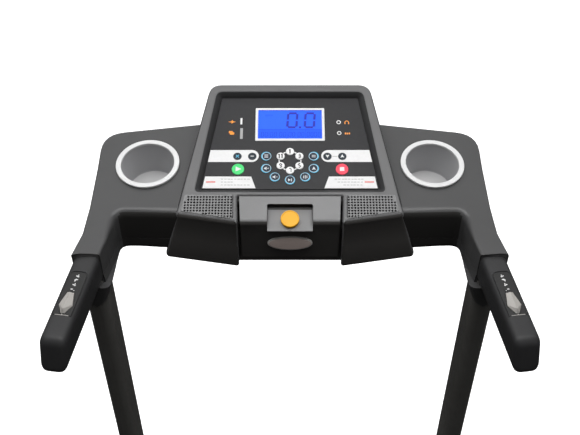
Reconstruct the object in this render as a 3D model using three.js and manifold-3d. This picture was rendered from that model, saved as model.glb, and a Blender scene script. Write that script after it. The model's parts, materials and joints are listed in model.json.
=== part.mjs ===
// A folding motorised home treadmill, in millimetres, +Z up.
// +X is the runner's right, +Y is the way the runner faces, and the machine stands on Z = 0.
// Everything is modelled from the uprights' foot, then moved by FRAME_SHIFT_Y so that the
// origin lies under the middle of the whole machine.
import * as THREE from "three";
import { ConvexGeometry } from "three/addons/geometries/ConvexGeometry.js";
import { mergeVertices } from "three/addons/utils/BufferGeometryUtils.js";
import Module from "manifold-3d";

const wasm = await Module();
wasm.setup();

// ---------- driving dimensions ----------
const FRAME_SHIFT_Y = 572.2; // from the fold pivot to the middle of the machine
const GAP = 0.4; // free space between neighbouring pieces

const FLOOR_TUBE = { x: 298, width: 40, low: 8, high: 50, front: 178, rear: -625 };
const BASE_CROSS = { front: [182, 220], middle: [-45, -5], rear: [-620, -580], low: 10, high: 44 };
const WHEEL = { radius: 30, width: 22, y: 210, bore: 5.3 };
const UPRIGHT = { x: 300, y: 18, width: 34, depth: 60, corner: 14, wall: 2, foot: 50.5, top: 1063 };

const PIVOT = { y: 0, z: 93, pin: 7, boss: 15, bossEnd: 270 };
const SIDE_TUBE = { inner: 232, outer: 260, low: 66, high: 120, front: 30, rear: -1425, wall: 2 };
const DECK_CROSS = { ys: [-340, -700, -1060, -1330], low: 93, high: 119, width: 34 };
const BOARD = { half: 245, front: -262, rear: -1362, low: 121, high: 137.2 };
const BELT = { half: 200, thick: 2.4 };
const FRONT_ROLLER = { y: -215, z: 112.2, radius: 24.8, pulley: 40 };
const REAR_ROLLER = { y: -1394, z: 114.2, radius: 22.8 };
const ROLLER_HALF = 203;
const SHAFT = 8;
const MOTOR = { y: -75, z: 119, radius: 45, left: -150, right: 60, pulley: 13.5 };
const PULLEY_SPAN = [-228, -208];
const RAIL = { inner: 203, outer: 275, low: 62, top: 158, front: -252, rear: -1400, wall: 3 };
const HOOD = { half: 268, wall: 3, low: 110 };
const DECK_CAP = { front: -1401, rear: -1440, inner: 204, top: 161, foot: 22 };

const STRUT = { base: [-60, 28], deck: [-480, 48], tube: 14, rod: 6, eye: 12 };

const WING = { y: 175, z: 1150, tilt: THREE.MathUtils.degToRad(12) }; // plane of the cup rings
const PANEL = { y: 80, z: 1129.8, tilt: THREE.MathUtils.degToRad(24) }; // plane of the display rim
const SHELL = { wall: 3, bottom: 1056, seam: 1076 };
const CUP = { x: 231, flange: 52, inner: 44, wall: 2, depth: 64, rim: 3 };
const GRIP = { collar: -4, x: 301.6, z: 1113, width: 37, height: 48, toe: 8.4, slope: 7 };
const GRIP_END = { top: 151, bottom: 176 }; // the end leans out towards its lower edge
const PLATE = { from: 30, to: 109, width: 27, thick: 1.6 };
const ROCKER = { from: 69, to: 105, top: 10, wide: 20, tip: 5, height: 6 };

const OVERLAY = { depth: 8, thick: 1.5, low: 43.1, high: 216.8, halfLow: 141.8, halfHigh: 113.9 };
const LCD = { halfWidth: 57, low: 133, high: 196.5, thick: 5 };
const KEY = { proud: 0.8, below: 2.6, clearance: 0.4, travel: 0.6 };
const QUICK_RING = { v: 95.2, radius: 17.5, key: 6.5 };
const DOCK = { half: 35.8, far: 13.2, depth: 8.5, plate: 2 };
const SAFETY_KEY = { v: -10.5, radius: 14.5, thick: 6 };

// ---------- materials ----------
const finish = (color, roughness, metalness = 0) =>
  new THREE.MeshStandardMaterial({ color, roughness, metalness });
const MATERIAL = {
  blackSteel: finish(0x1c1b1a, 0.45, 0.2),
  greyPlastic: finish(0x565656, 0.5),
  lightPlastic: finish(0x8f8f8f, 0.45),
  blackPlastic: finish(0x1d1c1b, 0.55),
  softGrip: finish(0x3a3a3a, 0.7),
  overlay: finish(0x474747, 0.4),
  whiteKey: finish(0xf0f0f0, 0.4),
  blueKey: finish(0x8fc9e8, 0.4),
  darkKey: finish(0x25303a, 0.4),
  green: finish(0x54d07c, 0.4),
  red: finish(0xec4f66, 0.4),
  yellow: finish(0xf9c23a, 0.35),
  screen: finish(0x3f72ff, 0.2),
  pulse: finish(0xb5b0ac, 0.4),
  cup: finish(0x909090, 0.4),
  rubber: finish(0x161616, 0.85),
  board: finish(0x6b5138, 0.7),
  belt: finish(0x151515, 0.8),
  steel: finish(0xb8b8b8, 0.3, 0.9),
  motor: finish(0x2e2f31, 0.5, 0.6),
};

// ---------- solids ----------
function solid(geometry) {
  const bare = geometry.index ? geometry.toNonIndexed() : geometry.clone();
  const open = new THREE.BufferGeometry().setAttribute("position", bare.getAttribute("position"));
  const merged = mergeVertices(open, 1e-4);
  return new wasm.Manifold(
    new wasm.Mesh({
      numProp: 3,
      vertProperties: merged.attributes.position.array,
      triVerts: new Uint32Array(merged.index.array),
    }),
  );
}

function geometryOf(made) {
  const { vertProperties, triVerts, numProp, numVert } = made.getMesh();
  const positions = new Float32Array(numVert * 3);
  for (let i = 0; i < numVert; i++) {
    positions.set(vertProperties.subarray(i * numProp, i * numProp + 3), i * 3);
  }
  return new THREE.BufferGeometry()
    .setAttribute("position", new THREE.BufferAttribute(positions, 3))
    .setIndex(new THREE.BufferAttribute(new Uint32Array(triVerts), 1));
}

const join = (...parts) => parts.reduce((whole, part) => whole.add(part));
const cut = (whole, ...parts) => parts.reduce((left, part) => left.subtract(part), whole);

// A box between two corners.
function block([x0, y0, z0], [x1, y1, z1]) {
  const box = new THREE.BoxGeometry(Math.abs(x1 - x0), Math.abs(y1 - y0), Math.abs(z1 - z0));
  return solid(box.translate((x0 + x1) / 2, (y0 + y1) / 2, (z0 + z1) / 2));
}

// A cylinder along X from x0 to x1, centred on (y, z).
function barX(x0, x1, y, z, radius, segments = 28) {
  const bar = new THREE.CylinderGeometry(radius, radius, Math.abs(x1 - x0), segments);
  return solid(bar.rotateZ(Math.PI / 2).translate((x0 + x1) / 2, y, z));
}

// A cylinder along Z from z0 to z1, centred on (x, y).
function barZ(x, y, z0, z1, radius, segments = 24) {
  const bar = new THREE.CylinderGeometry(radius, radius, z1 - z0, segments);
  return solid(bar.rotateX(Math.PI / 2).translate(x, y, (z0 + z1) / 2));
}

// A flat outline in XY, given as points or as a Shape, raised from z0 to z1.
function prism(outline, z0, z1, curveSegments = 4) {
  const points = () => outline.map((p) => new THREE.Vector2(...p));
  const shape = outline instanceof THREE.Shape ? outline : new THREE.Shape(points());
  const raised = new THREE.ExtrudeGeometry(shape, { depth: z1 - z0, bevelEnabled: false, curveSegments });
  return solid(raised.translate(0, 0, z0));
}

// A side-view outline of [y, z] points, run along X from x0 to x1.
function sideProfile(points, x0, x1) {
  return prism(points, x0, x1).transform(matrixArray(new THREE.Matrix4().set(
    0, 0, 1, 0,
    1, 0, 0, 0,
    0, 1, 0, 0,
    0, 0, 0, 1,
  )));
}

// A front-view outline of [x, z] points, run along Y from y0 to y1.
function frontProfile(points, y0, y1) {
  return prism(points, -y1, -y0).transform(matrixArray(new THREE.Matrix4().makeRotationX(Math.PI / 2)));
}

const matrixArray = (matrix) => matrix.elements;
const mirrored = (made) => made.transform(matrixArray(new THREE.Matrix4().makeScale(-1, 1, 1)));
const placed = (made, matrix) => made.transform(matrixArray(matrix));
const hull = (points) => solid(new ConvexGeometry(points.map((p) => new THREE.Vector3(...p))));

// A rectangle with rounded corners, centred on (x, y).
function roundedRectangle(x, y, width, height, radius) {
  const [left, right] = [x - width / 2, x + width / 2];
  const [low, high] = [y - height / 2, y + height / 2];
  const shape = new THREE.Shape();
  shape.moveTo(left + radius, low);
  shape.lineTo(right - radius, low);
  shape.absarc(right - radius, low + radius, radius, -Math.PI / 2, 0);
  shape.absarc(right - radius, high - radius, radius, 0, Math.PI / 2);
  shape.absarc(left + radius, high - radius, radius, Math.PI / 2, Math.PI);
  shape.absarc(left + radius, low + radius, radius, Math.PI, Math.PI * 1.5);
  shape.closePath();
  return shape;
}

// An outline of [x, y, radius] corners, each rounded by a quadratic curve.
function roundedOutline(corners) {
  const shape = new THREE.Shape();
  corners.forEach(([x, y, radius], i) => {
    const here = new THREE.Vector2(x, y);
    const before = new THREE.Vector2(...corners.at(i - 1)).sub(here);
    const after = new THREE.Vector2(...corners[(i + 1) % corners.length]).sub(here);
    const start = before.setLength(radius).add(here);
    const end = after.setLength(radius).add(here);
    if (i) shape.lineTo(start.x, start.y);
    else shape.moveTo(start.x, start.y);
    shape.quadraticCurveTo(x, y, end.x, end.y);
  });
  shape.closePath();
  return shape;
}

// ---------- the two tilted frames of the console ----------
const tiltedFrame = ({ y, z, tilt }) =>
  new THREE.Matrix4().makeTranslation(0, y, z).multiply(new THREE.Matrix4().makeRotationX(tilt));
const wingFrame = tiltedFrame(WING);
const panelFrame = tiltedFrame(PANEL);
const onPanel = (x, v, n = 0) => new THREE.Vector3(x, v, n).applyMatrix4(panelFrame).toArray();

// ---------- scene graph ----------
const treadmill = new THREE.Group();
treadmill.name = "treadmill";
const machine = new THREE.Group();
machine.position.y = FRAME_SHIFT_Y;
treadmill.add(machine);

const panelGroup = new THREE.Group();
panelGroup.applyMatrix4(panelFrame);
machine.add(panelGroup);

function add(name, made, material, parent = machine) {
  const mesh = new THREE.Mesh(geometryOf(made), material);
  mesh.name = name;
  parent.add(mesh);
}

function addPair(name, right, material) {
  add(name + "_right", right, material);
  add(name + "_left", mirrored(right), material);
}

// ---------- floor frame ----------
function floorTube() {
  const { x, width, low, high, front, rear } = FLOOR_TUBE;
  const half = width / 2;
  const wall = 2;
  const outer = block([x - half, rear, low], [x + half, front, high]);
  const bore = block([x - half + wall, rear - 1, low + wall], [x + half - wall, front + 1, high - wall]);
  return cut(outer, bore);
}

// Two plates that carry a transport wheel ahead of the floor tube.
function wheelFork() {
  const { x, low, high, front } = FLOOR_TUBE;
  const plate = (x0, x1) => block([x0, front - 6, low], [x1, WHEEL.y + 12, high]);
  const axle = barX(x - 17, x + 17, WHEEL.y, WHEEL.radius, WHEEL.bore - 0.3, 20);
  return join(plate(x - 20, x - 13), plate(x + 13, x + 20), axle);
}

// The plate and pin that the deck folds about.
function pivotEar() {
  const plate = sideProfile(
    [[-30, 12], [30, 12], [18, 108], [-18, 108]],
    PIVOT.bossEnd + GAP,
    PIVOT.bossEnd + 6,
  );
  const weld = block([PIVOT.bossEnd + 2, -28, 14], [279.5, 28, 46]);
  const pin = barX(SIDE_TUBE.inner + 3, PIVOT.bossEnd + 2, PIVOT.y, PIVOT.z, PIVOT.pin);
  return join(plate, weld, pin);
}

function crossChannel([rear, front], half) {
  const { low, high } = BASE_CROSS;
  const outer = block([-half, rear, low], [half, front, high]);
  const hollow = block([-half + 20, rear + 2.5, low - 1], [half - 20, front - 2.5, high - 2.5]);
  return cut(outer, hollow);
}

function strutFoot() {
  const [y, z] = STRUT.base;
  const cheek = (x0, x1) => sideProfile([[y - 14, 14], [-43, 14], [-43, 42], [y - 14, 42]], x0, x1);
  return join(cheek(-22, -17), cheek(17, 22), barX(-22, 22, y, z, 5, 20));
}

const rightSide = join(floorTube(), wheelFork(), pivotEar());
add(
  "base_frame",
  join(
    rightSide,
    mirrored(rightSide),
    crossChannel(BASE_CROSS.front, FLOOR_TUBE.x - 13),
    crossChannel(BASE_CROSS.middle, FLOOR_TUBE.x - 19),
    crossChannel(BASE_CROSS.rear, FLOOR_TUBE.x - 19),
    strutFoot(),
  ),
  MATERIAL.blackSteel,
);

// The plastic end of a floor tube, which is also the machine's rear foot.
function rearFoot() {
  const { x, width, high, rear } = FLOOR_TUBE;
  const half = width / 2 + 3;
  const shell = sideProfile(
    [
      [rear - 18, 6], [rear - 12, 0], [rear + 38, 0], [rear + 44, 6],
      [rear + 44, high + 3], [rear - 12, high + 3], [rear - 18, high - 4],
    ],
    x - half,
    x + half,
  );
  const socket = block(
    [x - half + 3 - GAP, rear - GAP, 8 - GAP], [x + half - 3 + GAP, rear + 50, high + GAP],
  );
  const crossTubeNotch = block(
    [x - half - 1, BASE_CROSS.rear[0] - 1, BASE_CROSS.low - 1], [x, rear + 60, high + 5],
  );
  return cut(shell, socket, crossTubeNotch);
}
addPair("rear_foot", rearFoot(), MATERIAL.rubber);

function transportWheel() {
  const { radius, width, y, bore } = WHEEL;
  const half = width / 2;
  const profile = [
    [bore, -half], [radius - 3, -half], [radius, -half + 3], [radius, half - 3],
    [radius - 3, half], [bore, half], [bore, -half],
  ].map((p) => new THREE.Vector2(...p));
  const turned = new THREE.LatheGeometry(profile, 32).rotateZ(Math.PI / 2);
  return solid(turned.translate(FLOOR_TUBE.x, y, radius));
}
addPair("transport_wheel", transportWheel(), MATERIAL.rubber);

// ---------- uprights ----------
function upright() {
  const { x, y, width, depth, corner, wall, foot, top } = UPRIGHT;
  const outer = prism(roundedRectangle(x, y, width, depth, corner), foot, top, 5);
  const innerOutline = roundedRectangle(x, y, width - 2 * wall, depth - 2 * wall, corner - wall);
  const inner = prism(innerOutline, foot - 1, top + 1, 5);
  return cut(outer, inner);
}
addPair("upright", upright(), MATERIAL.blackSteel);

// ---------- deck frame ----------
function sideTube() {
  const { inner, outer, low, high, front, rear, wall } = SIDE_TUBE;
  const bar = block([inner, rear, low], [outer, front, high]);
  const hollow = block([inner + wall, rear - 1, low + wall], [outer - wall, front + 1, high - wall]);
  const boss = barX(inner + 1, PIVOT.bossEnd, PIVOT.y, PIVOT.z, PIVOT.boss);
  const pivotBore = barX(inner - 2, PIVOT.bossEnd + 2, PIVOT.y, PIVOT.z, PIVOT.pin + 0.3);
  const shaftBore = ({ y, z }) => barX(inner - 2, inner + 12, y, z, SHAFT + 0.3, 20);
  return cut(join(cut(bar, hollow), boss), pivotBore, shaftBore(FRONT_ROLLER), shaftBore(REAR_ROLLER));
}

function deckCross(y) {
  const { low, high, width } = DECK_CROSS;
  const reach = SIDE_TUBE.inner + 1;
  const outer = block([-reach, y - width / 2, low], [reach, y + width / 2, high]);
  const hollow = block([-reach + 25, y - width / 2 + 2, low - 1], [reach - 25, y + width / 2 - 2, high - 2]);
  return cut(outer, hollow);
}

// A bar below the belt's return run, with two ears for the lifting strut's rod.
function strutBridge() {
  const [y, z] = STRUT.deck;
  const bar = block([-SIDE_TUBE.outer, y - 20, 60.6], [SIDE_TUBE.outer, y + 20, SIDE_TUBE.low + 0.5]);
  const earOutline = [[y - 18, 61], [y + 18, 61], [y + 13, z - 23], [y - 13, z - 23]];
  const ear = (x0, x1) => sideProfile(earOutline, x0, x1);
  return join(bar, ear(-22, -17), ear(17, 22));
}

function motorTray() {
  const { inner, low, front } = SIDE_TUBE;
  const floor = block([-inner - 1, -160, low], [inner + 1, front, low + 3]);
  const cradle = block([MOTOR.left + 30, MOTOR.y - 30, low + 2.5], [MOTOR.right - 30, MOTOR.y + 30, low + 9]);
  const seat = barX(MOTOR.left, MOTOR.right, MOTOR.y, MOTOR.z, MOTOR.radius + GAP, 36);
  return cut(join(floor, cradle), seat);
}

const deckSide = sideTube();
add(
  "deck_frame",
  join(deckSide, mirrored(deckSide), motorTray(), strutBridge(), ...DECK_CROSS.ys.map(deckCross)),
  MATERIAL.blackSteel,
);

add(
  "running_board",
  block([-BOARD.half, BOARD.rear, BOARD.low], [BOARD.half, BOARD.front, BOARD.high]),
  MATERIAL.board,
);

// ---------- rollers, belt and drive ----------
function roller({ y, z, radius }, extra = []) {
  const drum = barX(-ROLLER_HALF, ROLLER_HALF, y, z, radius, 36);
  const shaft = barX(-SIDE_TUBE.inner - 8, SIDE_TUBE.inner + 8, y, z, SHAFT, 20);
  return join(drum, shaft, ...extra);
}
const [pulleyLeft, pulleyRight] = PULLEY_SPAN;
const drivenPulley = barX(pulleyLeft, pulleyRight, FRONT_ROLLER.y, FRONT_ROLLER.z, FRONT_ROLLER.pulley, 36);
const pulleyNeck = barX(pulleyRight, -ROLLER_HALF, FRONT_ROLLER.y, FRONT_ROLLER.z, 14, 20);
add("front_roller", roller(FRONT_ROLLER, [drivenPulley, pulleyNeck]), MATERIAL.steel);
add("rear_roller", roller(REAR_ROLLER), MATERIAL.steel);

// The outline, in [y, z], of a flat belt round two wheels.
function beltOutline(a, b, grow) {
  const [dy, dz] = [b.y - a.y, b.z - a.z];
  const lean = Math.atan2(dz, dy);
  const spread = Math.acos((a.radius - b.radius) / Math.hypot(dy, dz));
  const shape = new THREE.Shape();
  shape.absarc(a.y, a.z, a.radius + grow, lean + spread, lean - spread + 2 * Math.PI, false);
  shape.absarc(b.y, b.z, b.radius + grow, lean - spread, lean + spread, false);
  shape.closePath();
  return shape.getPoints(14).map((p) => [p.x, p.y]);
}

function beltLoop(a, b, thick, x0, x1) {
  const outer = sideProfile(beltOutline(a, b, GAP + thick), x0, x1);
  return cut(outer, sideProfile(beltOutline(a, b, GAP), x0 - 1, x1 + 1));
}
add("running_belt", beltLoop(FRONT_ROLLER, REAR_ROLLER, BELT.thick, -BELT.half, BELT.half), MATERIAL.belt);

const motorPulley = { y: MOTOR.y, z: MOTOR.z, radius: MOTOR.pulley };
const rollerPulley = { y: FRONT_ROLLER.y, z: FRONT_ROLLER.z, radius: FRONT_ROLLER.pulley };
add(
  "drive_belt",
  beltLoop(motorPulley, rollerPulley, 2.5, pulleyLeft + 2, pulleyRight - 2),
  MATERIAL.rubber,
);

const motorShaft = (grow) => barX(pulleyLeft, MOTOR.left + 40, MOTOR.y, MOTOR.z, SHAFT + grow, 20);
add(
  "motor",
  cut(
    barX(MOTOR.left, MOTOR.right, MOTOR.y, MOTOR.z, MOTOR.radius, 36),
    motorShaft(0.5).translate([1, 0, 0]),
  ),
  MATERIAL.motor,
);
add(
  "motor_rotor",
  join(
    motorShaft(0),
    barX(pulleyLeft, pulleyRight, MOTOR.y, MOTOR.z, MOTOR.pulley),
    barX(MOTOR.left - 40, MOTOR.left - 14, MOTOR.y, MOTOR.z, MOTOR.radius, 36),
  ),
  MATERIAL.steel,
);

// ---------- foot rails, rear caps and motor hood ----------
const railSection = ({ inner, outer, low, top, wall }) => [
  [outer, low], [outer, top - 8], [outer - 7, top], [inner + 3, top], [inner, top - 3], [inner, top - 15],
  [inner + wall, top - 15], [inner + wall, top - wall], [outer - 8, top - wall],
  [outer - wall, top - 9], [outer - wall, low],
];
addPair("side_rail", frontProfile(railSection(RAIL), RAIL.rear, RAIL.front), MATERIAL.greyPlastic);

// The plastic cap behind a foot rail, with the deck's rear foot below it.
function deckCap() {
  const { front, rear, inner, top, foot } = DECK_CAP;
  const { outer } = RAIL;
  const body = sideProfile(
    [[front, 58], [front, top], [rear + 14, top], [rear, top - 16], [rear, 70], [rear + 8, 58]],
    inner,
    outer,
  );
  const cavity = block([SIDE_TUBE.inner - 3, rear + 4, 62], [outer - 3, front + 1, SIDE_TUBE.high + 3]);
  const rollerRoom = block([inner - 1, REAR_ROLLER.y - 34, 84], [SIDE_TUBE.inner - 2, front + 1, top - 6]);
  const leg = block([SIDE_TUBE.outer - 28, rear + foot - 16, 0], [SIDE_TUBE.outer + 8, rear + foot + 14, 59]);
  return join(cut(body, cavity, rollerRoom), leg);
}
addPair("deck_cap", deckCap(), MATERIAL.blackPlastic);

const HOOD_SIDE = [
  [90, HOOD.low], [90, 124], [70, 158], [24, 202], [-30, 212], [-120, 206], [-250, 166],
  [-250, HOOD.low],
];
const HOOD_SWITCH = { x: 186, y: 47, z: 180, halfX: 11, halfV: 15 };
const hoodSlope = Math.atan2(202 - 158, 70 - 24);

// The frame of the hood's sloping nose: x across, v up the slope, n outwards.
const noseFrame = new THREE.Matrix4()
  .makeTranslation(HOOD_SWITCH.x, HOOD_SWITCH.y, HOOD_SWITCH.z)
  .multiply(new THREE.Matrix4().makeRotationZ(Math.PI))
  .multiply(new THREE.Matrix4().makeRotationX(hoodSlope));

function motorHood() {
  const { half, wall, low } = HOOD;
  const inside = HOOD_SIDE.map(([y, z]) => [
    y > 0 ? y - wall : y + wall,
    z === low ? low - 1 : z - wall * 1.2,
  ]);
  const shell = cut(sideProfile(HOOD_SIDE, -half, half), sideProfile(inside, -half + wall, half - wall));
  const beltMouth = block([-SIDE_TUBE.outer - 2, -260, low - 1], [SIDE_TUBE.outer + 2, -240, RAIL.top - 10]);
  const switchHole = placed(block([-13, -17, -12], [13, 17, 12]), noseFrame);
  const inlet = placed(barZ(34, 0, -12, 12, 7, 20), noseFrame);
  return cut(shell, beltMouth, switchHole, inlet);
}
add("motor_hood", motorHood(), MATERIAL.greyPlastic);

const rockerSwitch = sideProfile(
  [[-15, -6], [15, -6], [15, 2.2], [0, -0.4], [-15, 1]], -HOOD_SWITCH.halfX, HOOD_SWITCH.halfX,
);
add("power_switch", placed(rockerSwitch, noseFrame), MATERIAL.red);

// ---------- lifting strut ----------
function strutParts() {
  const [[by, bz], [dy, dz]] = [STRUT.base, STRUT.deck];
  const length = Math.hypot(dy - by, dz - bz);
  const lean = Math.atan2(dz - bz, dy - by);
  const along = new THREE.Matrix4().makeTranslation(0, by, bz);
  along.multiply(new THREE.Matrix4().makeRotationX(lean));
  const bar = (y0, y1, radius) =>
    solid(new THREE.CylinderGeometry(radius, radius, y1 - y0, 24).translate(0, (y0 + y1) / 2, 0));
  const eye = (y) => barX(-12, 12, y, 0, STRUT.eye, 24);
  const tube = cut(
    join(bar(8, length * 0.62, STRUT.tube), eye(0)),
    barX(-20, 20, 0, 0, 5.4, 20),
    bar(40, length, STRUT.rod + 0.4),
  );
  const rod = join(bar(60, length - 6, STRUT.rod), eye(length), barX(-15, 15, length, 0, 5, 20));
  return [tube, rod].map((made) => placed(made, along));
}
const [strutTube, strutRod] = strutParts();
add("strut_cylinder", strutTube, MATERIAL.blackSteel);
add("strut_rod", strutRod, MATERIAL.steel);

// ---------- console shell ----------
// The plan of the right half, from the rear middle round to the front middle.
const PLAN_RIGHT = [
  [0, 272], [153, 266], [290, 247], [305, 241], [313, 228], [315, 212], [313, 175], [313, 93],
  [315, 45], [323, GRIP.collar],
  [283, GRIP.collar], [279, 26], [275, 54], [270, 66], [261, 75], [245, 79], [184, 74], [178, 100], [0, 100],
];

// Moves each edge of a closed outline inwards by the same distance.
function inset(points, distance) {
  const clockwise = THREE.ShapeUtils.isClockWise(points.map((p) => new THREE.Vector2(...p)));
  const side = clockwise ? -distance : distance;
  return points.map((here, i) => {
    const before = points.at(i - 1);
    const after = points[(i + 1) % points.length];
    const a = new THREE.Vector2(here[0] - before[0], here[1] - before[1]).normalize();
    const b = new THREE.Vector2(after[0] - here[0], after[1] - here[1]).normalize();
    const scale = side / (1 + a.dot(b));
    return [here[0] - (a.y + b.y) * scale, here[1] + (a.x + b.x) * scale];
  });
}
const plan = [...PLAN_RIGHT, ...PLAN_RIGHT.slice(1, -1).reverse().map(([x, y]) => [-x, y])];

// The space below a plane parallel to the cup rings, lowered by drop.
const underWing = (drop) => placed(block([-400, -400, -400], [400, 400, -drop]), wingFrame);

function consoleSolid(offset) {
  const outline = offset ? inset(plan, offset) : plan;
  return prism(outline, SHELL.bottom + offset, 1300).intersect(underWing(offset));
}

// The sleeve round the head of an upright, below the arm.
function postSleeve(grow) {
  const { x, y, width, depth, corner } = UPRIGHT;
  const shape = roundedRectangle(x, y, width + 2 * grow, depth + 2 * grow, corner + grow);
  return prism(shape, 1037, SHELL.bottom + 4, 5);
}

const shellOuter = consoleSolid(0);
const shellInner = consoleSolid(SHELL.wall);
const postHole = (grow) => {
  const { x, y, width, depth, corner } = UPRIGHT;
  return prism(roundedRectangle(x, y, width + 2 * grow, depth + 2 * grow, corner + grow), 1030, 1090, 5);
};
const postHoles = join(postHole(GAP), mirrored(postHole(GAP)));
const sleeves = join(postSleeve(4), mirrored(postSleeve(4)));
const aboveSeam = block([-400, -400, SHELL.seam + GAP / 2], [400, 400, 1400]);
const belowSeam = block([-400, -400, 900], [400, 400, SHELL.seam - GAP / 2]);

// The way that the handle's core leaves the arm, from its collar towards the runner.
const gripFrame = new THREE.Matrix4()
  .makeTranslation(GRIP.x, 0, GRIP.z - GRIP.height / 2)
  .multiply(new THREE.Matrix4().makeRotationZ(Math.PI + THREE.MathUtils.degToRad(GRIP.toe)))
  .multiply(new THREE.Matrix4().makeRotationX(-THREE.MathUtils.degToRad(GRIP.slope)));
const gripBar = (from, to, radius) => {
  const bar = new THREE.CylinderGeometry(radius, radius, to - from, 20).translate(0, (from + to) / 2, 0);
  return placed(solid(bar), gripFrame);
};
const coreHoles = join(gripBar(-12, 20, 10.6), mirrored(gripBar(-12, 20, 10.6)));

const cupOffset = new THREE.Matrix4().makeTranslation(CUP.x, 0, 0);
const cupPosition = new THREE.Matrix4().multiplyMatrices(wingFrame, cupOffset);
const cupHole = placed(barZ(0, 0, -CUP.depth - 8, 10, CUP.inner + CUP.wall + GAP, 40), cupPosition);
const displayHole = block([-146, 112, 1080], [146, 215, 1300]);
const shellBody = join(shellOuter, sleeves);
const shell = cut(
  shellBody, shellInner, postHoles, coreHoles, cupHole, mirrored(cupHole), displayHole,
);
add("console_top_shell", shell.intersect(aboveSeam), MATERIAL.greyPlastic);
add("console_bottom_shell", shell.intersect(belowSeam), MATERIAL.blackPlastic);

// The cup insert: a drawn cup with the white trim ring round its mouth.
function cupInsert() {
  const { flange, inner, wall, depth, rim } = CUP;
  const profile = [
    [0, -depth], [inner - 3, -depth], [inner + wall, -depth + 5], [inner + wall, GAP],
    [flange - 1, GAP], [flange, 1.4],
    [flange - 2, rim], [inner + 2, rim], [inner, 0], [inner, -depth + 6],
    [inner - 4, -depth + wall], [0, -depth + wall], [0, -depth],
  ].map((p) => new THREE.Vector2(...p));
  return placed(solid(new THREE.LatheGeometry(profile, 40).rotateX(Math.PI / 2)), cupPosition);
}
addPair("cup_insert", cupInsert(), MATERIAL.cup);

// ---------- console frame ----------
function crossbar() {
  const { x, y } = UPRIGHT;
  const beam = cut(block([-x, 106, 1082], [x, 130, 1110]), block([-x + 20, 109, 1081], [x - 20, 127, 1107]));
  const side = block([x - 10, 6, 1085], [x + 2, 110, 1104]);
  const core = gripBar(-30, 150, 10);
  const cap = block([x - 8, y - 16, 1063.5], [x + 8, y + 16, 1090]);
  const half = join(side, core, cap);
  return join(beam, half, mirrored(half));
}
add("console_crossbar", crossbar(), MATERIAL.blackSteel);

// ---------- handle grips ----------
function grip() {
  const { width, height } = GRIP;
  const { top, bottom } = GRIP_END;
  const half = height / 2;
  const side = [
    [-8, -half], [bottom - 9, -half], [bottom - 3, 3 - half], [bottom - 3, 8 - half],
    [top + 3, half - 8], [top - 1, half - 2], [top - 7, half], [-8, half],
  ];
  const body = roundedBar(width, height, 12, -8, bottom).intersect(sideProfile(side, -width, width));
  const rockerPocket = prism(rockerOutline(0.9), height / 2 - 6, height / 2);
  return cut(body, coreBore(), plateSeat(), rockerPocket);
}

// A bar of rounded-rectangle section along the handle, in the grip's own frame.
function roundedBar(width, height, radius, from, to) {
  const section = roundedRectangle(0, 0, width, height, radius);
  const bar = new THREE.ExtrudeGeometry(section, { depth: to - from, bevelEnabled: false, curveSegments: 3 });
  return solid(bar.rotateX(-Math.PI / 2).translate(0, from, 0));
}
const coreBore = () => solid(new THREE.CylinderGeometry(10.4, 10.4, 170, 20).translate(0, 67, 0));
const plateOutline = (grow) => {
  const half = PLATE.width / 2 + grow;
  return roundedOutline([
    [-half, PLATE.to + grow, 1], [half, PLATE.to + grow, 1],
    [half, PLATE.from - grow, 11], [-half, PLATE.from - grow, 11],
  ]);
};
const gripTop = GRIP.height / 2;
const plateSeat = () => prism(plateOutline(0.3), gripTop - 3, gripTop + 5);
const rockerOutline = (grow) => {
  const { from, to, top, wide, tip } = ROCKER;
  const middle = from + (to - from) * 0.62;
  const half = (size) => size / 2 + grow;
  return [
    [-half(top), from - grow], [half(top), from - grow], [half(wide), middle], [half(tip), to + grow],
    [-half(tip), to + grow], [-half(wide), middle],
  ];
};
const inArm = block([250, GRIP.collar - 0.6, 1000], [360, 60, 1200]);
addPair("grip", cut(placed(grip(), gripFrame), inArm), MATERIAL.softGrip);

const plateTop = gripTop - 0.6;
const plate = cut(
  prism(plateOutline(0), plateTop - PLATE.thick, plateTop),
  prism(rockerOutline(0.7), gripTop - 10, gripTop + 5),
);
addPair("grip_plate", placed(plate, gripFrame), MATERIAL.blackPlastic);

// The faceted rocker: a ridge runs down the middle of its kite-shaped top.
function handleRocker() {
  const { from, to, height } = ROCKER;
  const foot = plateTop - 1.4;
  const rimTop = plateTop + 1.2;
  const points = rockerOutline(0).flatMap(([x, y]) => [[x, y, foot], [x, y, rimTop]]);
  const ridge = [[0, from + 3, plateTop + height - 2], [0, to - 8, plateTop + height - 2]];
  return hull([...points, ...ridge]);
}
addPair("handle_rocker", placed(handleRocker(), gripFrame), MATERIAL.pulse);

// ---------- display housing ----------
const HOUSING_TOP = [
  [111, 239.5], [127.5, 233.5], [135, 217], [179, -7], [84, -21.5],
];
const bothSides = (points) => points.flatMap(([x, ...rest]) => [[x, ...rest], [-x, ...rest]]);

// The convex block that the display rim, speakers and tray are cut from, shrunk by wall.
function housingBlock(wall, depth) {
  const top = bothSides(HOUSING_TOP.map(([x, v]) => [x - wall, v > 100 ? v - wall : v + wall]));
  const bottom = bothSides([
    [203 - wall, 74 + wall, 1039 + wall], [85 - wall, 60 + wall, 1032 + wall], [153 - wall, 265 - wall, 1160],
  ]);
  return hull([...top.map(([x, v]) => onPanel(x, v, -depth)), ...bottom]);
}

const openFront = (x0, x1, v0, v1, n0, n1) => placed(block([x0, v0, n0], [x1, v1, n1]), panelFrame);
const overlayOutline = (grow) => {
  const { low, high, halfLow, halfHigh } = OVERLAY;
  return [
    [-halfLow - grow, low - grow], [halfLow + grow, low - grow],
    [halfHigh + grow, high + grow], [-halfHigh - grow, high + grow],
  ];
};

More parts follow.
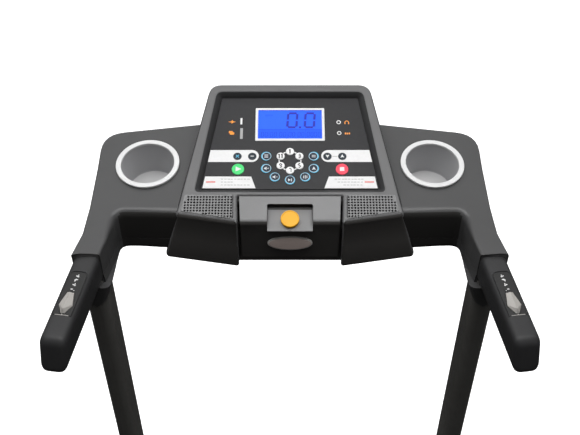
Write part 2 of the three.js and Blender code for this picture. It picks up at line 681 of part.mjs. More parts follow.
// The sloping walls of the recess that the overlay lies in.
function recess() {
  const floor = overlayOutline(0.4).map(([x, v]) => [x, v, -OVERLAY.depth - OVERLAY.thick - 0.3]);
  const mouth = overlayOutline(9).map(([x, v]) => [x, v < 100 ? v + 1 : v - 2, 0.5]);
  return placed(hull([...floor, ...mouth]), panelFrame);
}

const GRILLE = [[165.2, 29, 3], [169.3, 0.2, 4], [88.8, -11.9, 4], [90.1, 29, 2]];
const grilleOutline = (grow) => {
  const shape = GRILLE.map(([x, v]) => [x, v]);
  return grow ? inset(shape, -grow) : shape;
};

// The groove and step beside the middle tray, and the tray's set-back front face.
function trayCuts() {
  const groove = openFront(76, 79.5, -40, 30, -3, 2);
  const setBack = block([-76, 40, 1000], [76, 66.5, 1117]);
  const under = block([-76, 40, 1000], [76, 90, 1046]);
  return [groove, mirrored(groove), setBack, under];
}

const dockCut = openFront(-DOCK.half, DOCK.half, -60, DOCK.far, -DOCK.depth - DOCK.plate - GAP, 20);

// ---------- keys of the overlay: [name, x, v, radius, material] ----------
const quickKeys = [1, 3, 5, 7, 9, 11].map((number, i) => {
  const angle = Math.PI / 2 - (i * Math.PI) / 3;
  const { v, radius, key } = QUICK_RING;
  const x = radius * Math.cos(angle);
  return [`key_speed_${number}`, x, v + radius * Math.sin(angle), key, MATERIAL.whiteKey];
});
const RING_KEY = 8.3;
const ringKeys = [
  ["key_program", -38.4, 103.6],
  ["key_volume_up", -38.3, 80.9],
  ["key_volume_down", -24.3, 65.2],
  ["key_track", 0, 59.8],
  ["key_incline_down", 24.3, 65.2],
  ["key_incline_up", 38.3, 80.9],
  ["key_mode", 38.4, 103.6],
].map(([name, x, v]) => [name, x, v, RING_KEY, MATERIAL.blueKey]);
const BAR_KEY = 6.4;
const barKeys = [
  ["key_fan", -85, 103.6],
  ["key_mute", -61, 103.6],
  ["key_slower", 60.5, 103.6],
  ["key_faster", 84.5, 103.6],
].map(([name, x, v]) => [name, x, v, BAR_KEY, MATERIAL.darkKey]);
const keys = [
  ["key_start", -83.5, 79.8, 9.9, MATERIAL.green],
  ["key_stop", 83.5, 79.8, 9.9, MATERIAL.red],
  ...quickKeys,
  ...ringKeys,
  ...barKeys,
];

const overlayTop = -OVERLAY.depth;
const keyWell = ([, x, v, radius], low) => barZ(x, v, low, 5, radius + KEY.clearance, 20);
const lcdWell = (grow, low) =>
  block([-LCD.halfWidth - grow, LCD.low - grow, low], [LCD.halfWidth + grow, LCD.high + grow, 5]);

function displayHousing() {
  const grilleSeat = prism(grilleOutline(0.4), -2.4, 5);
  const speakerWindow = block([100, -4, -30], [156, 24, 5]);
  const panelCuts = [
    grilleSeat, mirrored(grilleSeat), speakerWindow, mirrored(speakerWindow), lcdWell(0.4, -15.2),
  ];
  const wells = keys.map((key) => keyWell(key, overlayTop - KEY.below - KEY.travel - 0.6));
  const cavity = housingBlock(3, 17);
  const wingBody = join(prism(inset(plan, -GAP), SHELL.bottom - GAP, 1300).intersect(underWing(-GAP)));
  const outer = cut(housingBlock(0, 0), wingBody, recess(), ...trayCuts());
  const hollow = cut(outer, cavity, dockCut);
  return cut(hollow, ...[...panelCuts, ...wells].map((made) => placed(made, panelFrame)));
}
add("display_housing", displayHousing(), MATERIAL.lightPlastic);

const overlay = cut(
  prism(overlayOutline(0), overlayTop - OVERLAY.thick, overlayTop),
  lcdWell(-4, -20),
  ...keys.map((key) => keyWell(key, -20)),
);
add("keypad_overlay", overlay, MATERIAL.overlay, panelGroup);

const lcdFace = overlayTop - OVERLAY.thick - 0.3;
add(
  "lcd_module",
  block([-LCD.halfWidth, LCD.low, lcdFace - LCD.thick], [LCD.halfWidth, LCD.high, lcdFace]),
  MATERIAL.screen,
  panelGroup,
);

for (const [name, x, v, radius, material] of keys) {
  const cap = barZ(x, v, overlayTop - KEY.below, overlayTop + KEY.proud, radius, 20);
  add(name, cap, material, panelGroup);
}

const grilleRight = prism(grilleOutline(0), -2, 0.4);
add("speaker_grille_right", grilleRight, MATERIAL.lightPlastic, panelGroup);
add("speaker_grille_left", mirrored(grilleRight), MATERIAL.lightPlastic, panelGroup);

const dockPlate = block(
  [-DOCK.half + GAP, -24, -DOCK.depth - DOCK.plate],
  [DOCK.half - GAP, DOCK.far - GAP, -DOCK.depth],
);
add("key_dock", dockPlate, MATERIAL.lightPlastic, panelGroup);

const keyFoot = -DOCK.depth + 0.3;
add(
  "safety_key",
  barZ(0, SAFETY_KEY.v, keyFoot, keyFoot + SAFETY_KEY.thick, SAFETY_KEY.radius, 32),
  MATERIAL.yellow,
  panelGroup,
);

export default treadmill;
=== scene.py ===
"""A folding motorised treadmill in Blender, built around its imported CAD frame.

Every piece is made in metres in the CAD frame: +X is the runner's right, +Y is the way the
runner faces, and Z = 0 is the floor. Lengths in the tables below are in millimetres.
"""

import json
import math

import bmesh
import bpy
from mathutils import Matrix, Vector
from mathutils.geometry import tessellate_polygon


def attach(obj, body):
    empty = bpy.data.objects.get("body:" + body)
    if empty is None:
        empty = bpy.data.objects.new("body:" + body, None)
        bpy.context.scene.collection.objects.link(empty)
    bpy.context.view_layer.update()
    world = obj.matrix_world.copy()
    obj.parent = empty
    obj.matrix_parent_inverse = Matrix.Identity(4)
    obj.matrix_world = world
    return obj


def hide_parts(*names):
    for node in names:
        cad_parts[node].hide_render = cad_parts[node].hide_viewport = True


MM = 0.001
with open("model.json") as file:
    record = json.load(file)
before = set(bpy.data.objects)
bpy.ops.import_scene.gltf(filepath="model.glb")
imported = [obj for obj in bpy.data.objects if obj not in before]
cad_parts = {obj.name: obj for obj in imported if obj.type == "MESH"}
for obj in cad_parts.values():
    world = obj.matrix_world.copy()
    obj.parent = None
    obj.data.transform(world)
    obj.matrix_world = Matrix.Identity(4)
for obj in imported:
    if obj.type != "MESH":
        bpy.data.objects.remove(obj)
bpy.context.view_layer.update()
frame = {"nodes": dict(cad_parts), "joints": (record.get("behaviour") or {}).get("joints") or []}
NODES = frame["nodes"]
JOINTS = {joint["name"]: joint for joint in frame["joints"]}

# ---------- the frames that the CAD's parts lie in ----------
FOLD_Y = JOINTS["deck_fold"]["pos_m"][1]
PANEL_TILT = math.radians(24)
WING_TILT = math.radians(12)
GRIP_TOE = math.radians(8.4)
GRIP_SLOPE = math.radians(7)


def tilted(x, y, z, tilt):
    """A frame at (x, y, z), in millimetres from the fold pivot's upright plane, tilted about X."""
    origin = Matrix.Translation((x * MM, FOLD_Y + y * MM, z * MM))
    return origin @ Matrix.Rotation(tilt, 4, "X")


PANEL = tilted(0, 80, 1129.8, PANEL_TILT)
WING_Y, WING_Z = 175, 1150
WING = tilted(0, WING_Y, WING_Z, WING_TILT)
MACHINE = tilted(0, 0, 0, 0)
PANEL_TO_MACHINE = MACHINE.inverted() @ PANEL
GRIP_FRAME = (
    tilted(301.6, 0, 1089, 0)
    @ Matrix.Rotation(math.pi + GRIP_TOE, 4, "Z")
    @ Matrix.Rotation(-GRIP_SLOPE, 4, "X")
)
MIRROR = Matrix.Scale(-1, 4, (1, 0, 0))


# ---------- materials ----------
def feed(tree, node, inputs):
    """Sets each named input to its value, or links it where the value is another's output."""
    for name, value in inputs.items():
        if isinstance(value, bpy.types.NodeSocket):
            tree.links.new(value, node.inputs[name])
        else:
            node.inputs[name].default_value = value


def add_node(tree, kind, inputs, **settings):
    node = tree.nodes.new("ShaderNode" + kind)
    for name, value in settings.items():
        setattr(node, name, value)
    feed(tree, node, inputs)
    return node


def node_material(name):
    material = bpy.data.materials.new(name)
    material.use_nodes = True
    tree = material.node_tree
    return material, tree, tree.nodes["Principled BSDF"]


def object_place(tree):
    return add_node(tree, "TexCoord", {}).outputs["Object"]


def object_noise(tree, scale, detail=3):
    inputs = {"Vector": object_place(tree), "Scale": scale, "Detail": detail}
    return add_node(tree, "TexNoise", inputs).outputs["Fac"]


def spread(tree, factor, low, high):
    """A noise's middle range mapped to a range of values."""
    inputs = {"Value": factor, "From Min": 0.3, "From Max": 0.7, "To Min": low, "To Max": high}
    return add_node(tree, "MapRange", inputs).outputs["Result"]


def add_bump(tree, shader, height, distance):
    bump = add_node(tree, "Bump", {"Height": height, "Distance": distance, "Strength": 1.0})
    feed(tree, shader, {"Normal": bump.outputs["Normal"]})


def tinted(tree, shader, color, factor, amount):
    """Varies the base colour's brightness by the share amount, following factor."""
    mix = add_node(tree, "Mix", {
        "A": (*[c * (1 - amount) for c in color], 1),
        "B": (*[min(1, c * (1 + amount)) for c in color], 1),
        "Factor": spread(tree, factor, 0, 1),
    }, data_type="RGBA")
    feed(tree, shader, {"Base Color": mix.outputs["Result"]})


def plastic(name, color, roughness=0.45, grain=1400, bump=0.00004, specular=0.4, coat=0.0):
    """Moulded plastic: a fine spark-eroded grain, a slow colour drift and uneven gloss."""
    material, tree, shader = node_material(name)
    gloss = spread(tree, object_noise(tree, 60), roughness - 0.04, roughness + 0.04)
    feed(tree, shader, {"Specular IOR Level": specular, "Coat Weight": coat, "Roughness": gloss})
    tinted(tree, shader, color, object_noise(tree, 9), 0.05)
    add_bump(tree, shader, object_noise(tree, grain, 2), bump)
    return material


def metal(name, color, roughness=0.3, metallic=1.0, grain=900, bump=0.00002):
    """Coated or bare metal, with fine streaks in its gloss."""
    material, tree, shader = node_material(name)
    gloss = spread(tree, object_noise(tree, 220), roughness - 0.06, roughness + 0.08)
    feed(tree, shader, {"Metallic": metallic, "Roughness": gloss})
    tinted(tree, shader, color, object_noise(tree, 25), 0.08)
    add_bump(tree, shader, object_noise(tree, grain, 2), bump)
    return material


def printed(name, color, roughness=0.4, glow=0.0, specular=0.4):
    """Printed or tinted film, with faint mottling; glow makes it give out light: a backlight for the
    screen and its numerals, and painted light on the badge face and the start and stop keys.
    """
    material, tree, shader = node_material(name)
    feed(tree, shader, {"Roughness": roughness, "Specular IOR Level": specular})
    if glow:
        feed(tree, shader, {"Emission Color": (*color, 1), "Emission Strength": glow})
    tinted(tree, shader, color, object_noise(tree, 160), 0.03)
    add_bump(tree, shader, object_noise(tree, 2500, 1), 0.00001)
    return material


def rubber(name, color, roughness=0.75, grain=700, bump=0.00012):
    material, tree, shader = node_material(name)
    feed(tree, shader, {"Roughness": roughness, "Specular IOR Level": 0.3})
    tinted(tree, shader, color, object_noise(tree, 30), 0.12)
    add_bump(tree, shader, object_noise(tree, grain, 3), bump)
    return material


def woven_belt(name):
    """The running belt: a fine raised diamond weave, with a faint drift in its colour."""
    material, tree, shader = node_material(name)
    tinted(tree, shader, (0.016, 0.016, 0.017), object_noise(tree, 12), 0.2)
    place = object_place(tree)
    waves = []
    for turn in (45, -45):
        rotation = (0, 0, math.radians(turn))
        turned = add_node(tree, "Mapping", {"Vector": place, "Rotation": rotation})
        waves.append(add_node(tree, "TexWave", {"Vector": turned.outputs["Vector"], "Scale": 90}))
    weave = add_node(tree, "Math", {}, operation="MULTIPLY")
    for wave, socket in zip(waves, weave.inputs):
        tree.links.new(wave.outputs["Fac"], socket)
    feed(tree, shader, {"Roughness": 0.62})
    add_bump(tree, shader, weave.outputs["Value"], 0.0003)
    return material


def fibreboard(name):
    """Pressed board, with its grain drawn out along the deck."""
    material, tree, shader = node_material(name)
    drawn = add_node(tree, "Mapping", {"Vector": object_place(tree), "Scale": (12, 2, 60)})
    inputs = {"Vector": drawn.outputs["Vector"], "Scale": 12, "Detail": 8}
    grain = add_node(tree, "TexNoise", inputs).outputs["Fac"]
    tinted(tree, shader, (0.17, 0.1, 0.05), grain, 0.35)
    feed(tree, shader, {"Roughness": 0.6})
    add_bump(tree, shader, grain, 0.0001)
    return material


MAT = {
    "wing": plastic("wing_plastic", (0.062, 0.062, 0.063), 0.34, specular=0.45),
    # The deck caps' own dark plastic, also used as painted shade on the console's front wall.
    "lower": plastic("dark_cap_plastic_and_front_shade", (0.026, 0.025, 0.024), 0.52, specular=0.25),
    "housing": plastic("housing_plastic", (0.13, 0.13, 0.132), 0.36),
    "grille": plastic("grille_plastic", (0.2, 0.2, 0.202), 0.42),
    "tray": plastic("tray_plastic", (0.2, 0.2, 0.202), 0.42),
    # recess and front are painted shade for recess walls and forward faces; front is also the power
    # inlet's own plastic.
    "recess": plastic("recess_painted_shade", (0.035, 0.035, 0.036), 0.5, specular=0.2),
    "front": plastic("front_shade_and_inlet_plastic", (0.075, 0.072, 0.069), 0.5, specular=0.2),
    "overlay": printed("overlay_film", (0.036, 0.036, 0.038), 0.5, specular=0.2),
    "grip": plastic("grip_skin", (0.03, 0.03, 0.031), 0.42, 2200, 0.00006, 0.3),
    "hood": plastic("hood_plastic", (0.05, 0.05, 0.052), 0.5, 900, 0.00007),
    "rail": plastic("rail_plastic", (0.055, 0.055, 0.057), 0.5, 900, 0.00007),
    "black": plastic("black_plastic", (0.018, 0.018, 0.018), 0.4),
    "ring": plastic("ring_plastic", (0.62, 0.62, 0.62), 0.4, bump=0.00001, specular=0.3),
    "cup": plastic("cup_plastic", (0.42, 0.42, 0.43), 0.45),
    # A lighter copy of the cup's plastic: painted light on the cup's floor.
    "cup_floor": plastic("cup_floor_painted_light", (0.6, 0.6, 0.6), 0.5),
    "rocker": plastic("rocker_plastic", (0.36, 0.345, 0.325), 0.38, 1800, 0.00001),
    "white": printed("white_print", (0.72, 0.72, 0.72)),
    "grey_print": printed("grey_print", (0.35, 0.35, 0.35)),
    "pale_print": printed("pale_print", (0.62, 0.63, 0.65)),
    "faded_red": printed("faded_red_print", (0.7, 0.22, 0.2)),
    "orange": printed("orange_print", (0.9, 0.32, 0.04)),
    "cyan": printed("cyan_print", (0.09, 0.45, 0.68)),
    "navy": printed("navy_key", (0.006, 0.018, 0.036), 0.35),
    "dark_key": printed("dark_key", (0.012, 0.022, 0.032), 0.35),
    "white_key": printed("white_key", (0.8, 0.8, 0.8), 0.35),
    # The start and stop keys' glow is painted light that brightens their print.
    "green": printed("green_key", (0.05, 0.55, 0.15), 0.35, 0.25),
    "red": printed("red_key", (0.8, 0.05, 0.09), 0.35, 0.2),
    "yellow": plastic("yellow_key", (0.8, 0.4, 0.02), 0.35, bump=0.00001, specular=0.3),
    "screen": printed("screen_glass", (0.03, 0.115, 0.95), 0.3, 0.3, 0.08),
    "segment": printed("screen_segment", (0.035, 0.045, 0.36), 0.4, 0.1, 0.08),
    "segment_faint": printed("screen_segment_faint", (0.024, 0.095, 0.8), 0.4, 0.25, 0.08),
    "segment_pale": printed("screen_segment_pale", (0.02, 0.065, 0.5), 0.4, 0.15, 0.08),
    "badge": plastic("badge_rim_plastic", (0.5, 0.49, 0.47), 0.3, bump=0.00001, specular=0.6),
    # The badge face's glow is painted light that brightens the plain face as if it caught a reflection.
    "badge_face": printed("badge_face_with_painted_glow", (0.24, 0.2, 0.185), 0.4, 0.3),
    "steel_black": metal("steel_black", (0.07, 0.068, 0.064), 0.42, 0.1, 500, 0.00008),
    "post": metal("post_paint", (0.12, 0.117, 0.11), 0.42, 0.1, 500, 0.00008),
    "steel": metal("steel_bright", (0.6, 0.6, 0.61), 0.28),
    "zinc": metal("zinc_plate", (0.5, 0.5, 0.47), 0.35),
    "motor": metal("motor_case", (0.05, 0.05, 0.055), 0.4, 0.6),
    "copper": metal("copper_wire", (0.6, 0.25, 0.12), 0.4),
    "board": plastic("circuit_board", (0.02, 0.12, 0.05), 0.5),
    "cloth": rubber("speaker_cloth_and_shadow", (0.006, 0.006, 0.006), 0.9, 1600, 0.0001),
    "rubber": rubber("black_rubber", (0.014, 0.014, 0.014)),
    "belt": woven_belt("belt_weave"),
    "deck": fibreboard("deck_board"),
    "strip": rubber("strip_rubber", (0.03, 0.03, 0.032), 0.8, 400, 0.0004),
}


# ---------- meshes ----------
def new_piece(name, mesh, material, body, replaces=(), smooth=40):
    """Makes a shown piece from a mesh in the row frame, and lets it ride on a CAD body."""
    mesh.name = name
    mesh.materials.append(MAT[material])
    mesh.shade_smooth()
    mesh.set_sharp_from_angle(angle=math.radians(smooth))
    piece = bpy.data.objects.new(name, mesh)
    bpy.context.scene.collection.objects.link(piece)
    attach(piece, body)
    if replaces:
        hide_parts(*replaces)
    return piece


def to_mesh(bm, matrix=None):
    bmesh.ops.recalc_face_normals(bm, faces=bm.faces)
    mesh = bpy.data.meshes.new("piece")
    bm.to_mesh(mesh)
    bm.free()
    if matrix is not None:
        mesh.transform(matrix)
        if matrix.determinant() < 0:
            mesh.flip_normals()
    return mesh


def add_rings(bm, rings):
    """Adds each ring's points, in millimetres, as a row of vertices."""
    return [[bm.verts.new(Vector(p) * MM) for p in ring] for ring in rings]


def skin(bm, rows):
    """Joins each row of vertices to the next one by a band of faces."""
    for low, high in zip(rows, rows[1:]):
        for i in range(len(low)):
            j = (i + 1) % len(low)
            bm.faces.new((low[i], low[j], high[j], high[i]))


def quarter_turn(steps):
    """The sine and cosine of even turns from 0 to 90 degrees."""
    turns = [math.pi / 2 * k / steps for k in range(steps + 1)]
    return [(math.sin(turn), math.cos(turn)) for turn in turns]


def loft(rings, matrix):
    """Skins rings of points, all in millimetres and of one length, and caps both ends."""
    bm = bmesh.new()
    rows = add_rings(bm, rings)
    skin(bm, rows)
    fill(bm, [rows[0]])
    fill(bm, [rows[-1]])
    return to_mesh(bm, matrix)


def fill(bm, loops):
    """Fills the space between an outer loop of vertices and the holes in it."""
    points = [[v.co for v in loop] for loop in loops]
    flat = [v for loop in loops for v in loop]
    for triangle in tessellate_polygon(points):
        corners = [flat[i] for i in triangle]
        if len(set(corners)) == 3 and not bm.faces.get(corners):
            bm.faces.new(corners)


def arc(cx, cy, radius, start, end, steps):
    """Points along an arc, angles in degrees."""
    turns = [math.radians(start + (end - start) * i / steps) for i in range(steps + 1)]
    return [(cx + radius * math.cos(t), cy + radius * math.sin(t)) for t in turns]


def circle(cx, cy, radius, steps=32):
    return arc(cx, cy, radius, 0, 360, steps)[:-1]


def rounded(corners, steps=5):
    """An outline of (x, y, radius) corners, each radius a true arc where it fits."""
    outline = []
    for i, (x, y, radius) in enumerate(corners):
        here = Vector((x, y))
        before = (Vector(corners[i - 1][:2]) - here)
        after = (Vector(corners[(i + 1) % len(corners)][:2]) - here)
        if radius <= 0:
            outline.append((x, y))
            continue
        half = before.angle(after) / 2
        reach = min(radius / math.tan(half), before.length * 0.49, after.length * 0.49)
        start = here + before.normalized() * reach
        end = here + after.normalized() * reach
        for k in range(steps + 1):
            t = k / steps
            mid = start * (1 - t) ** 2 + here * 2 * t * (1 - t) + end * t * t
            outline.append((mid.x, mid.y))
    return outline


def rounded_box(width, height, radius, steps=5, cx=0, cy=0):
    w, h = width / 2, height / 2
    corners = [(cx - w, cy - h, radius), (cx + w, cy - h, radius), (cx + w, cy + h, radius)]
    return rounded(corners + [(cx - w, cy + h, radius)], steps)


def inset(outline, distance):
    """Moves every edge of an outline inwards (outwards if negative) by a distance."""
    points = [Vector(p) for p in outline]
    count = len(points)
    area = sum(points[i - 1].cross(points[i]) for i in range(count))
    side = distance if area > 0 else -distance
    moved = []
    for i, here in enumerate(points):
        a = (here - points[i - 1]).normalized()
        b = (points[(i + 1) % count] - here).normalized()
        scale = side / max(0.2, 1 + a.dot(b))
        moved.append((here.x - (a.y + b.y) * scale, here.y + (a.x + b.x) * scale))
    return moved


def slab(outline, low, high, edge=0.0, matrix=PANEL, steps=3, holes=()):
    """A flat plate with a rounded upper edge, and straight holes through it."""
    rings = [[(x, y, low) for x, y in outline]]
    for sine, cosine in quarter_turn(steps)[:None if edge else 1]:
        lift = edge * (1 - sine)
        rings.append([(x, y, high - lift) for x, y in inset(outline, edge * (1 - cosine))])
    bm = bmesh.new()
    rows = add_rings(bm, rings)
    hole_rows = [add_rings(bm, [[(x, y, z) for x, y in hole] for z in (low, high)]) for hole in holes]
    for bands in (rows, *hole_rows):
        skin(bm, bands)
    fill(bm, [rows[0], *[pair[0] for pair in hole_rows]])
    fill(bm, [rows[-1], *[pair[1] for pair in hole_rows]])
    return to_mesh(bm, matrix)


def lathe(profile, matrix, steps=64):
    """Turns a closed profile of (radius, z) points about the frame's Z axis."""
    rings = []
    for i in range(steps):
        turn = 2 * math.pi * i / steps
        rings.append([(r * math.cos(turn), r * math.sin(turn), z) for r, z in profile])
    bm = bmesh.new()
    rows = add_rings(bm, rings)
    skin(bm, rows + rows[:1])
    bmesh.ops.remove_doubles(bm, verts=bm.verts, dist=1e-7)
    return to_mesh(bm, matrix)


def joined(meshes):
    """One mesh holding several separate closed solids."""
    bm = bmesh.new()
    for mesh in meshes:
        bm.from_mesh(mesh)
        bpy.data.meshes.remove(mesh)
    made = bpy.data.meshes.new("joined")
    bm.to_mesh(made)
    bm.free()
    return made


def mirrored(mesh):
    twin = mesh.copy()
    twin.transform(MIRROR)
    twin.flip_normals()
    return twin


def add_pair(name, mesh, material, body, replaces=(), smooth=40):
    """A right-hand piece and its mirrored left-hand twin. body may hold a {side} field."""
    twin = mirrored(mesh)
    for side, made in (("right", mesh), ("left", twin)):
        nodes = [n.format(side=side) for n in replaces]
        new_piece(f"{name}_{side}", made, material, body.format(side=side), nodes, smooth)


def shade_faces(piece, material, place, test):
    """Gives the faces whose centre and normal, seen in the frame place, pass the test a material; here it
    paints shade onto faces that look forwards or lie in a recess.
    """
    index = len(piece.data.materials)
    piece.data.materials.append(MAT[material])
    into = place.inverted()
    turn = into.to_3x3().normalized()
    for face in piece.data.polygons:
        if test((into @ face.center) / MM, turn @ face.normal):
            face.material_index = index


def dress(node, material, bevel, segments=2):
    """Gives a CAD node its material, softer edges and smooth shading."""
    piece = NODES[node]
    piece.data.materials.clear()
    piece.data.materials.append(MAT[material])
    piece.data.shade_smooth()
    piece.data.set_sharp_from_angle(angle=math.radians(35))
    if bevel:
        modifier = piece.modifiers.new("soft_edges", "BEVEL")
        modifier.width = bevel * MM
        modifier.segments = segments
        modifier.limit_method = "ANGLE"
        modifier.angle_limit = math.radians(35)
        modifier.harden_normals = True


# ---------- console shells ----------
def ease(value):
    t = max(0.0, min(1.0, value))
    return t * t * (3 - 2 * t)


COLLAR = -4
COLLAR_ROUND = 1.6
# The plan of the right half, as (x, y, corner radius), with the arm run on past its collar.
WING_PLAN = [
    (0, 272, 0), (80, 271, 0), (153, 266.5, 90), (314.5, 244, 42), (312.5, 170, 60), (312.5, 90, 60),
    (315.5, 40, 50), (324.5, COLLAR, 20), (327, -30, 0), (284, -30, 0), (282, COLLAR, 20), (277, 26, 40),
    (270, 79.5, 34), (240, 79, 30), (160, 77.5, 0), (150, 100, 0), (0, 100, 0),
]
COLLAR_RISE = 5.5
WING_TOP = {"sharp": 4.0, "soft": 12.0}
SEAM = {"low": 1075.75, "high": 1076.25}
KEEL = {"z": 1056, "round": 6}
CUP_X = 231


def wing_outline():
    right = WING_PLAN
    left = [(-x, y, radius) for x, y, radius in reversed(right[1:-1])]
    return rounded(right + left, 6)


def wing_height(y):
    """The tilted plane of the cup rings, which eases up to each arm's collar."""
    rise = COLLAR_RISE * ease((46 - y) / 56)
    return WING_Z + (y - WING_Y) * math.tan(WING_TILT) + rise


def edge_radius(x, y):
    """The inner elbow has a soft edge, and the arms and the far side a crisp one."""
    inside = abs(x) < 292 and y < 110
    soft = ease((y - 20) / 45) if inside else 0
    return WING_TOP["sharp"] + (WING_TOP["soft"] - WING_TOP["sharp"]) * soft


def inset_each(outline, distances):
    """As inset(), with its own distance at each point."""
    whole = inset(outline, 1.0)
    return [
        (p[0] + (q[0] - p[0]) * d, p[1] + (q[1] - p[1]) * d)
        for p, q, d in zip(outline, whole, distances)
    ]


def bulge(x, y):
    """How far the arm's inner wall leans in below the seam, to meet the upright."""
    return -2.5 * ease((95 - y) / 50) if abs(x) < 305 else -1.5


def keel(x, y):
    """The height of the console's underside: it drops towards each upright and the middle."""
    if abs(x) > 245:
        return KEEL["z"] - 10 * ease((70 - y) / 50)
    return KEEL["z"] - 5 * ease((245 - abs(x)) / 100)


def console_top():
    outline = wing_outline()
    radii = [edge_radius(x, y) for x, y in outline]
    foot = SEAM["high"]
    rings = []
    for sine, cosine in quarter_turn(6):
        moved = inset_each(outline, [r * (1 - sine) for r in radii])
        rings.append([(x, y, wing_height(y) - r * (1 - cosine)) for (x, y), r in zip(moved, radii)])
    rings.append([(x, y, foot) for x, y in outline])
    mouths = [circle(side * CUP_X, WING_Y, 47, 48) for side in (1, -1)]
    mouths.append(rounded_box(284, 100, 10, 4, 0, 166))
    holes = [[(x, y, wing_height(y)) for x, y in mouth] for mouth in mouths]
    slope = math.tan(WING_TILT)
    bm = bmesh.new()
    rows = add_rings(bm, rings)
    lids = add_rings(bm, holes)
    feet = add_rings(bm, [[(x, y + (z - foot) * slope, foot) for x, y, z in hole] for hole in holes])
    for bands in (rows, *zip(lids, feet)):
        skin(bm, bands)
    fill(bm, [rows[0], *lids])
    fill(bm, [rows[-1], *feet])
    return trimmed(bm)


def console_bottom():
    outline = wing_outline()
    lean = [bulge(x, y) for x, y in outline]
    heights = [keel(x, y) for x, y in outline]
    middle = (SEAM["low"] + SEAM["high"]) / 2
    rings = [[(x, y, SEAM["low"]) for x, y in outline]]
    for share in (0.35, 0.7, 1.0):
        moved = inset_each(outline, [b * share for b in lean])
        rings.append([
            (x, y, SEAM["low"] + (z + KEEL["round"] - middle) * share)
            for (x, y), z in zip(moved, heights)
        ])
    for sine, cosine in quarter_turn(3)[1:]:
        moved = inset_each(outline, [b + KEEL["round"] * (1 - cosine) for b in lean])
        rings.append([(x, y, z + KEEL["round"] * (1 - sine)) for (x, y), z in zip(moved, heights)])
    bm = bmesh.new()
    rows = add_rings(bm, rings)
    skin(bm, rows)
    fill(bm, [rows[0]])
    fill(bm, [rows[-1]])
    return trimmed(bm)


def trimmed(bm):
    """Cuts the arms off flat at their collars and closes the cuts."""
    geometry = [*bm.verts, *bm.edges, *bm.faces]
    cut = bmesh.ops.bisect_plane(
        bm, geom=geometry, dist=1e-7, plane_co=(0, COLLAR * MM, 0), plane_no=(0, -1, 0), clear_outer=True
    )
    edges = [g for g in cut["geom_cut"] if isinstance(g, bmesh.types.BMEdge)]
    bmesh.ops.holes_fill(bm, edges=edges, sides=0)
    bmesh.ops.bevel(bm, geom=edges, offset=COLLAR_ROUND * MM, segments=3, profile=0.5, affect="EDGES")
    return to_mesh(bm, MACHINE)


def in_shade(at, n):
    """The console's front wall, between the arms, whose forward faces get the darker plastic as painted
    shade.
    """
    return n.y < -0.8 and at.y < 110 and abs(at.x) < 290


# Both shells get painted shade: their forward faces between the arms take the darker plastic.
for name, mesh, slot in (
    ("console_top", console_top(), "grey_plastic"), ("console_bottom", console_bottom(), "black_plastic")
):
    shell = new_piece(name, mesh, "wing", "stand", [f"{name}_shell"])
    shade_faces(shell, "lower", MACHINE, in_shade)


def upright_boot():
    """The arm's underside narrows round the upright, down to a lip with a pointed front."""
    rings = []
    for z, share in ((1029.6, 0.0), (1029, 0.06), (1030, 0.14), (1038, 0.4), (1048, 0.75), (1060, 1.0)):
        width, depth = 34.8 + 12 * share, 60.8 + 24 * share
        middle = 300 - 4.5 * share
        near, far = 18 + 7 * share - depth / 2, 18 + 7 * share + depth / 2
        left, right, corner = middle - width / 2, middle + width / 2, 14 + 3 * share
        section = rounded([
            (left, near, corner), (middle, near, 0), (right, near, corner), (right, far, corner),
            (left, far, corner),
        ], 6)
        ring = []
        for x, y in section:
            front = ease((0 - y) / 12)
            point = max(0.0, 1 - abs(x - middle) / (width / 2)) * 16 * (1 - share) * front
            ring.append((x, y, z - point))
        rings.append(ring)
    return loft(rings, MACHINE)


add_pair("upright_boot", upright_boot(), "wing", "stand")

# ---------- cup holders ----------
CUP = WING @ Matrix.Translation((CUP_X * MM, 0, 0))
CUP_RING = [
    (42.9, 0.6), (43.9, 0.3), (51.0, 0.3), (51.4, 0.9), (51.4, 3.6), (51.1, 4.2), (50.6, 4.5),
    (43.8, 4.5), (43.2, 4.2), (42.9, 3.6),
]
CUP_BODY = [
    (0, -64), (43, -64), (44.4, -62), (45, -58), (45.8, 0), (43.9, 0), (43.3, -1), (42.9, -57),
    (42.4, -59.8), (41, -61.4), (39.5, -61.8), (0, -62),
]
for side, place in (("right", CUP), ("left", MIRROR @ CUP @ MIRROR)):
    body = lathe(CUP_BODY, place, 72)
    new_piece(f"cup_{side}", body, "cup", "stand", [f"cup_insert_{side}"], 30)
    new_piece(f"cup_ring_{side}", lathe(CUP_RING, place, 72), "ring", "stand", (), 25)
    # A lighter disc on the cup's floor, as painted light where light falls into the cup.
    pad = lathe([(0, -61.9), (40, -61.3), (40.4, -61), (40, -60.7), (0, -60.9)], place, 48)
    new_piece(f"cup_floor_light_disc_{side}", pad, "cup_floor", "stand", (), 30)

# ---------- display housing ----------
RECESS = -8.0
SKIRT_ROUND = 5.0
# The rim's outline on the panel, as (x, v, corner radius), with the notch that the tray fills.
RIM = [
    (-179, -7, 8), (-81, -21.5, 5), (-83, 27.5, 2), (83, 27.5, 2), (81, -21.5, 5), (179, -7, 8),
    (133, 239.5, 22), (-133, 239.5, 22),
]
MOUTH = [(-153.5, 31.7, 9), (153.5, 31.7, 9), (125, 227, 15), (-125, 227, 15)]
FILM = [(-141.8, 43.1, 2), (141.8, 43.1, 2), (113.9, 216.8, 2), (-113.9, 216.8, 2)]
GRILLE = [(169.3, 0.2, 4), (88.8, -11.9, 4), (90.1, 29, 2), (165.2, 29, 3)]


def grille_seat():
    """The grille's pocket, moved down and inwards so that the black cloth shows as a painted shadow: a
    dark gap below it and along its inner side.
    """
    return [(x - 0.5, v - 0.6) for x, v in inset(rounded(GRILLE, 4), -0.6)]


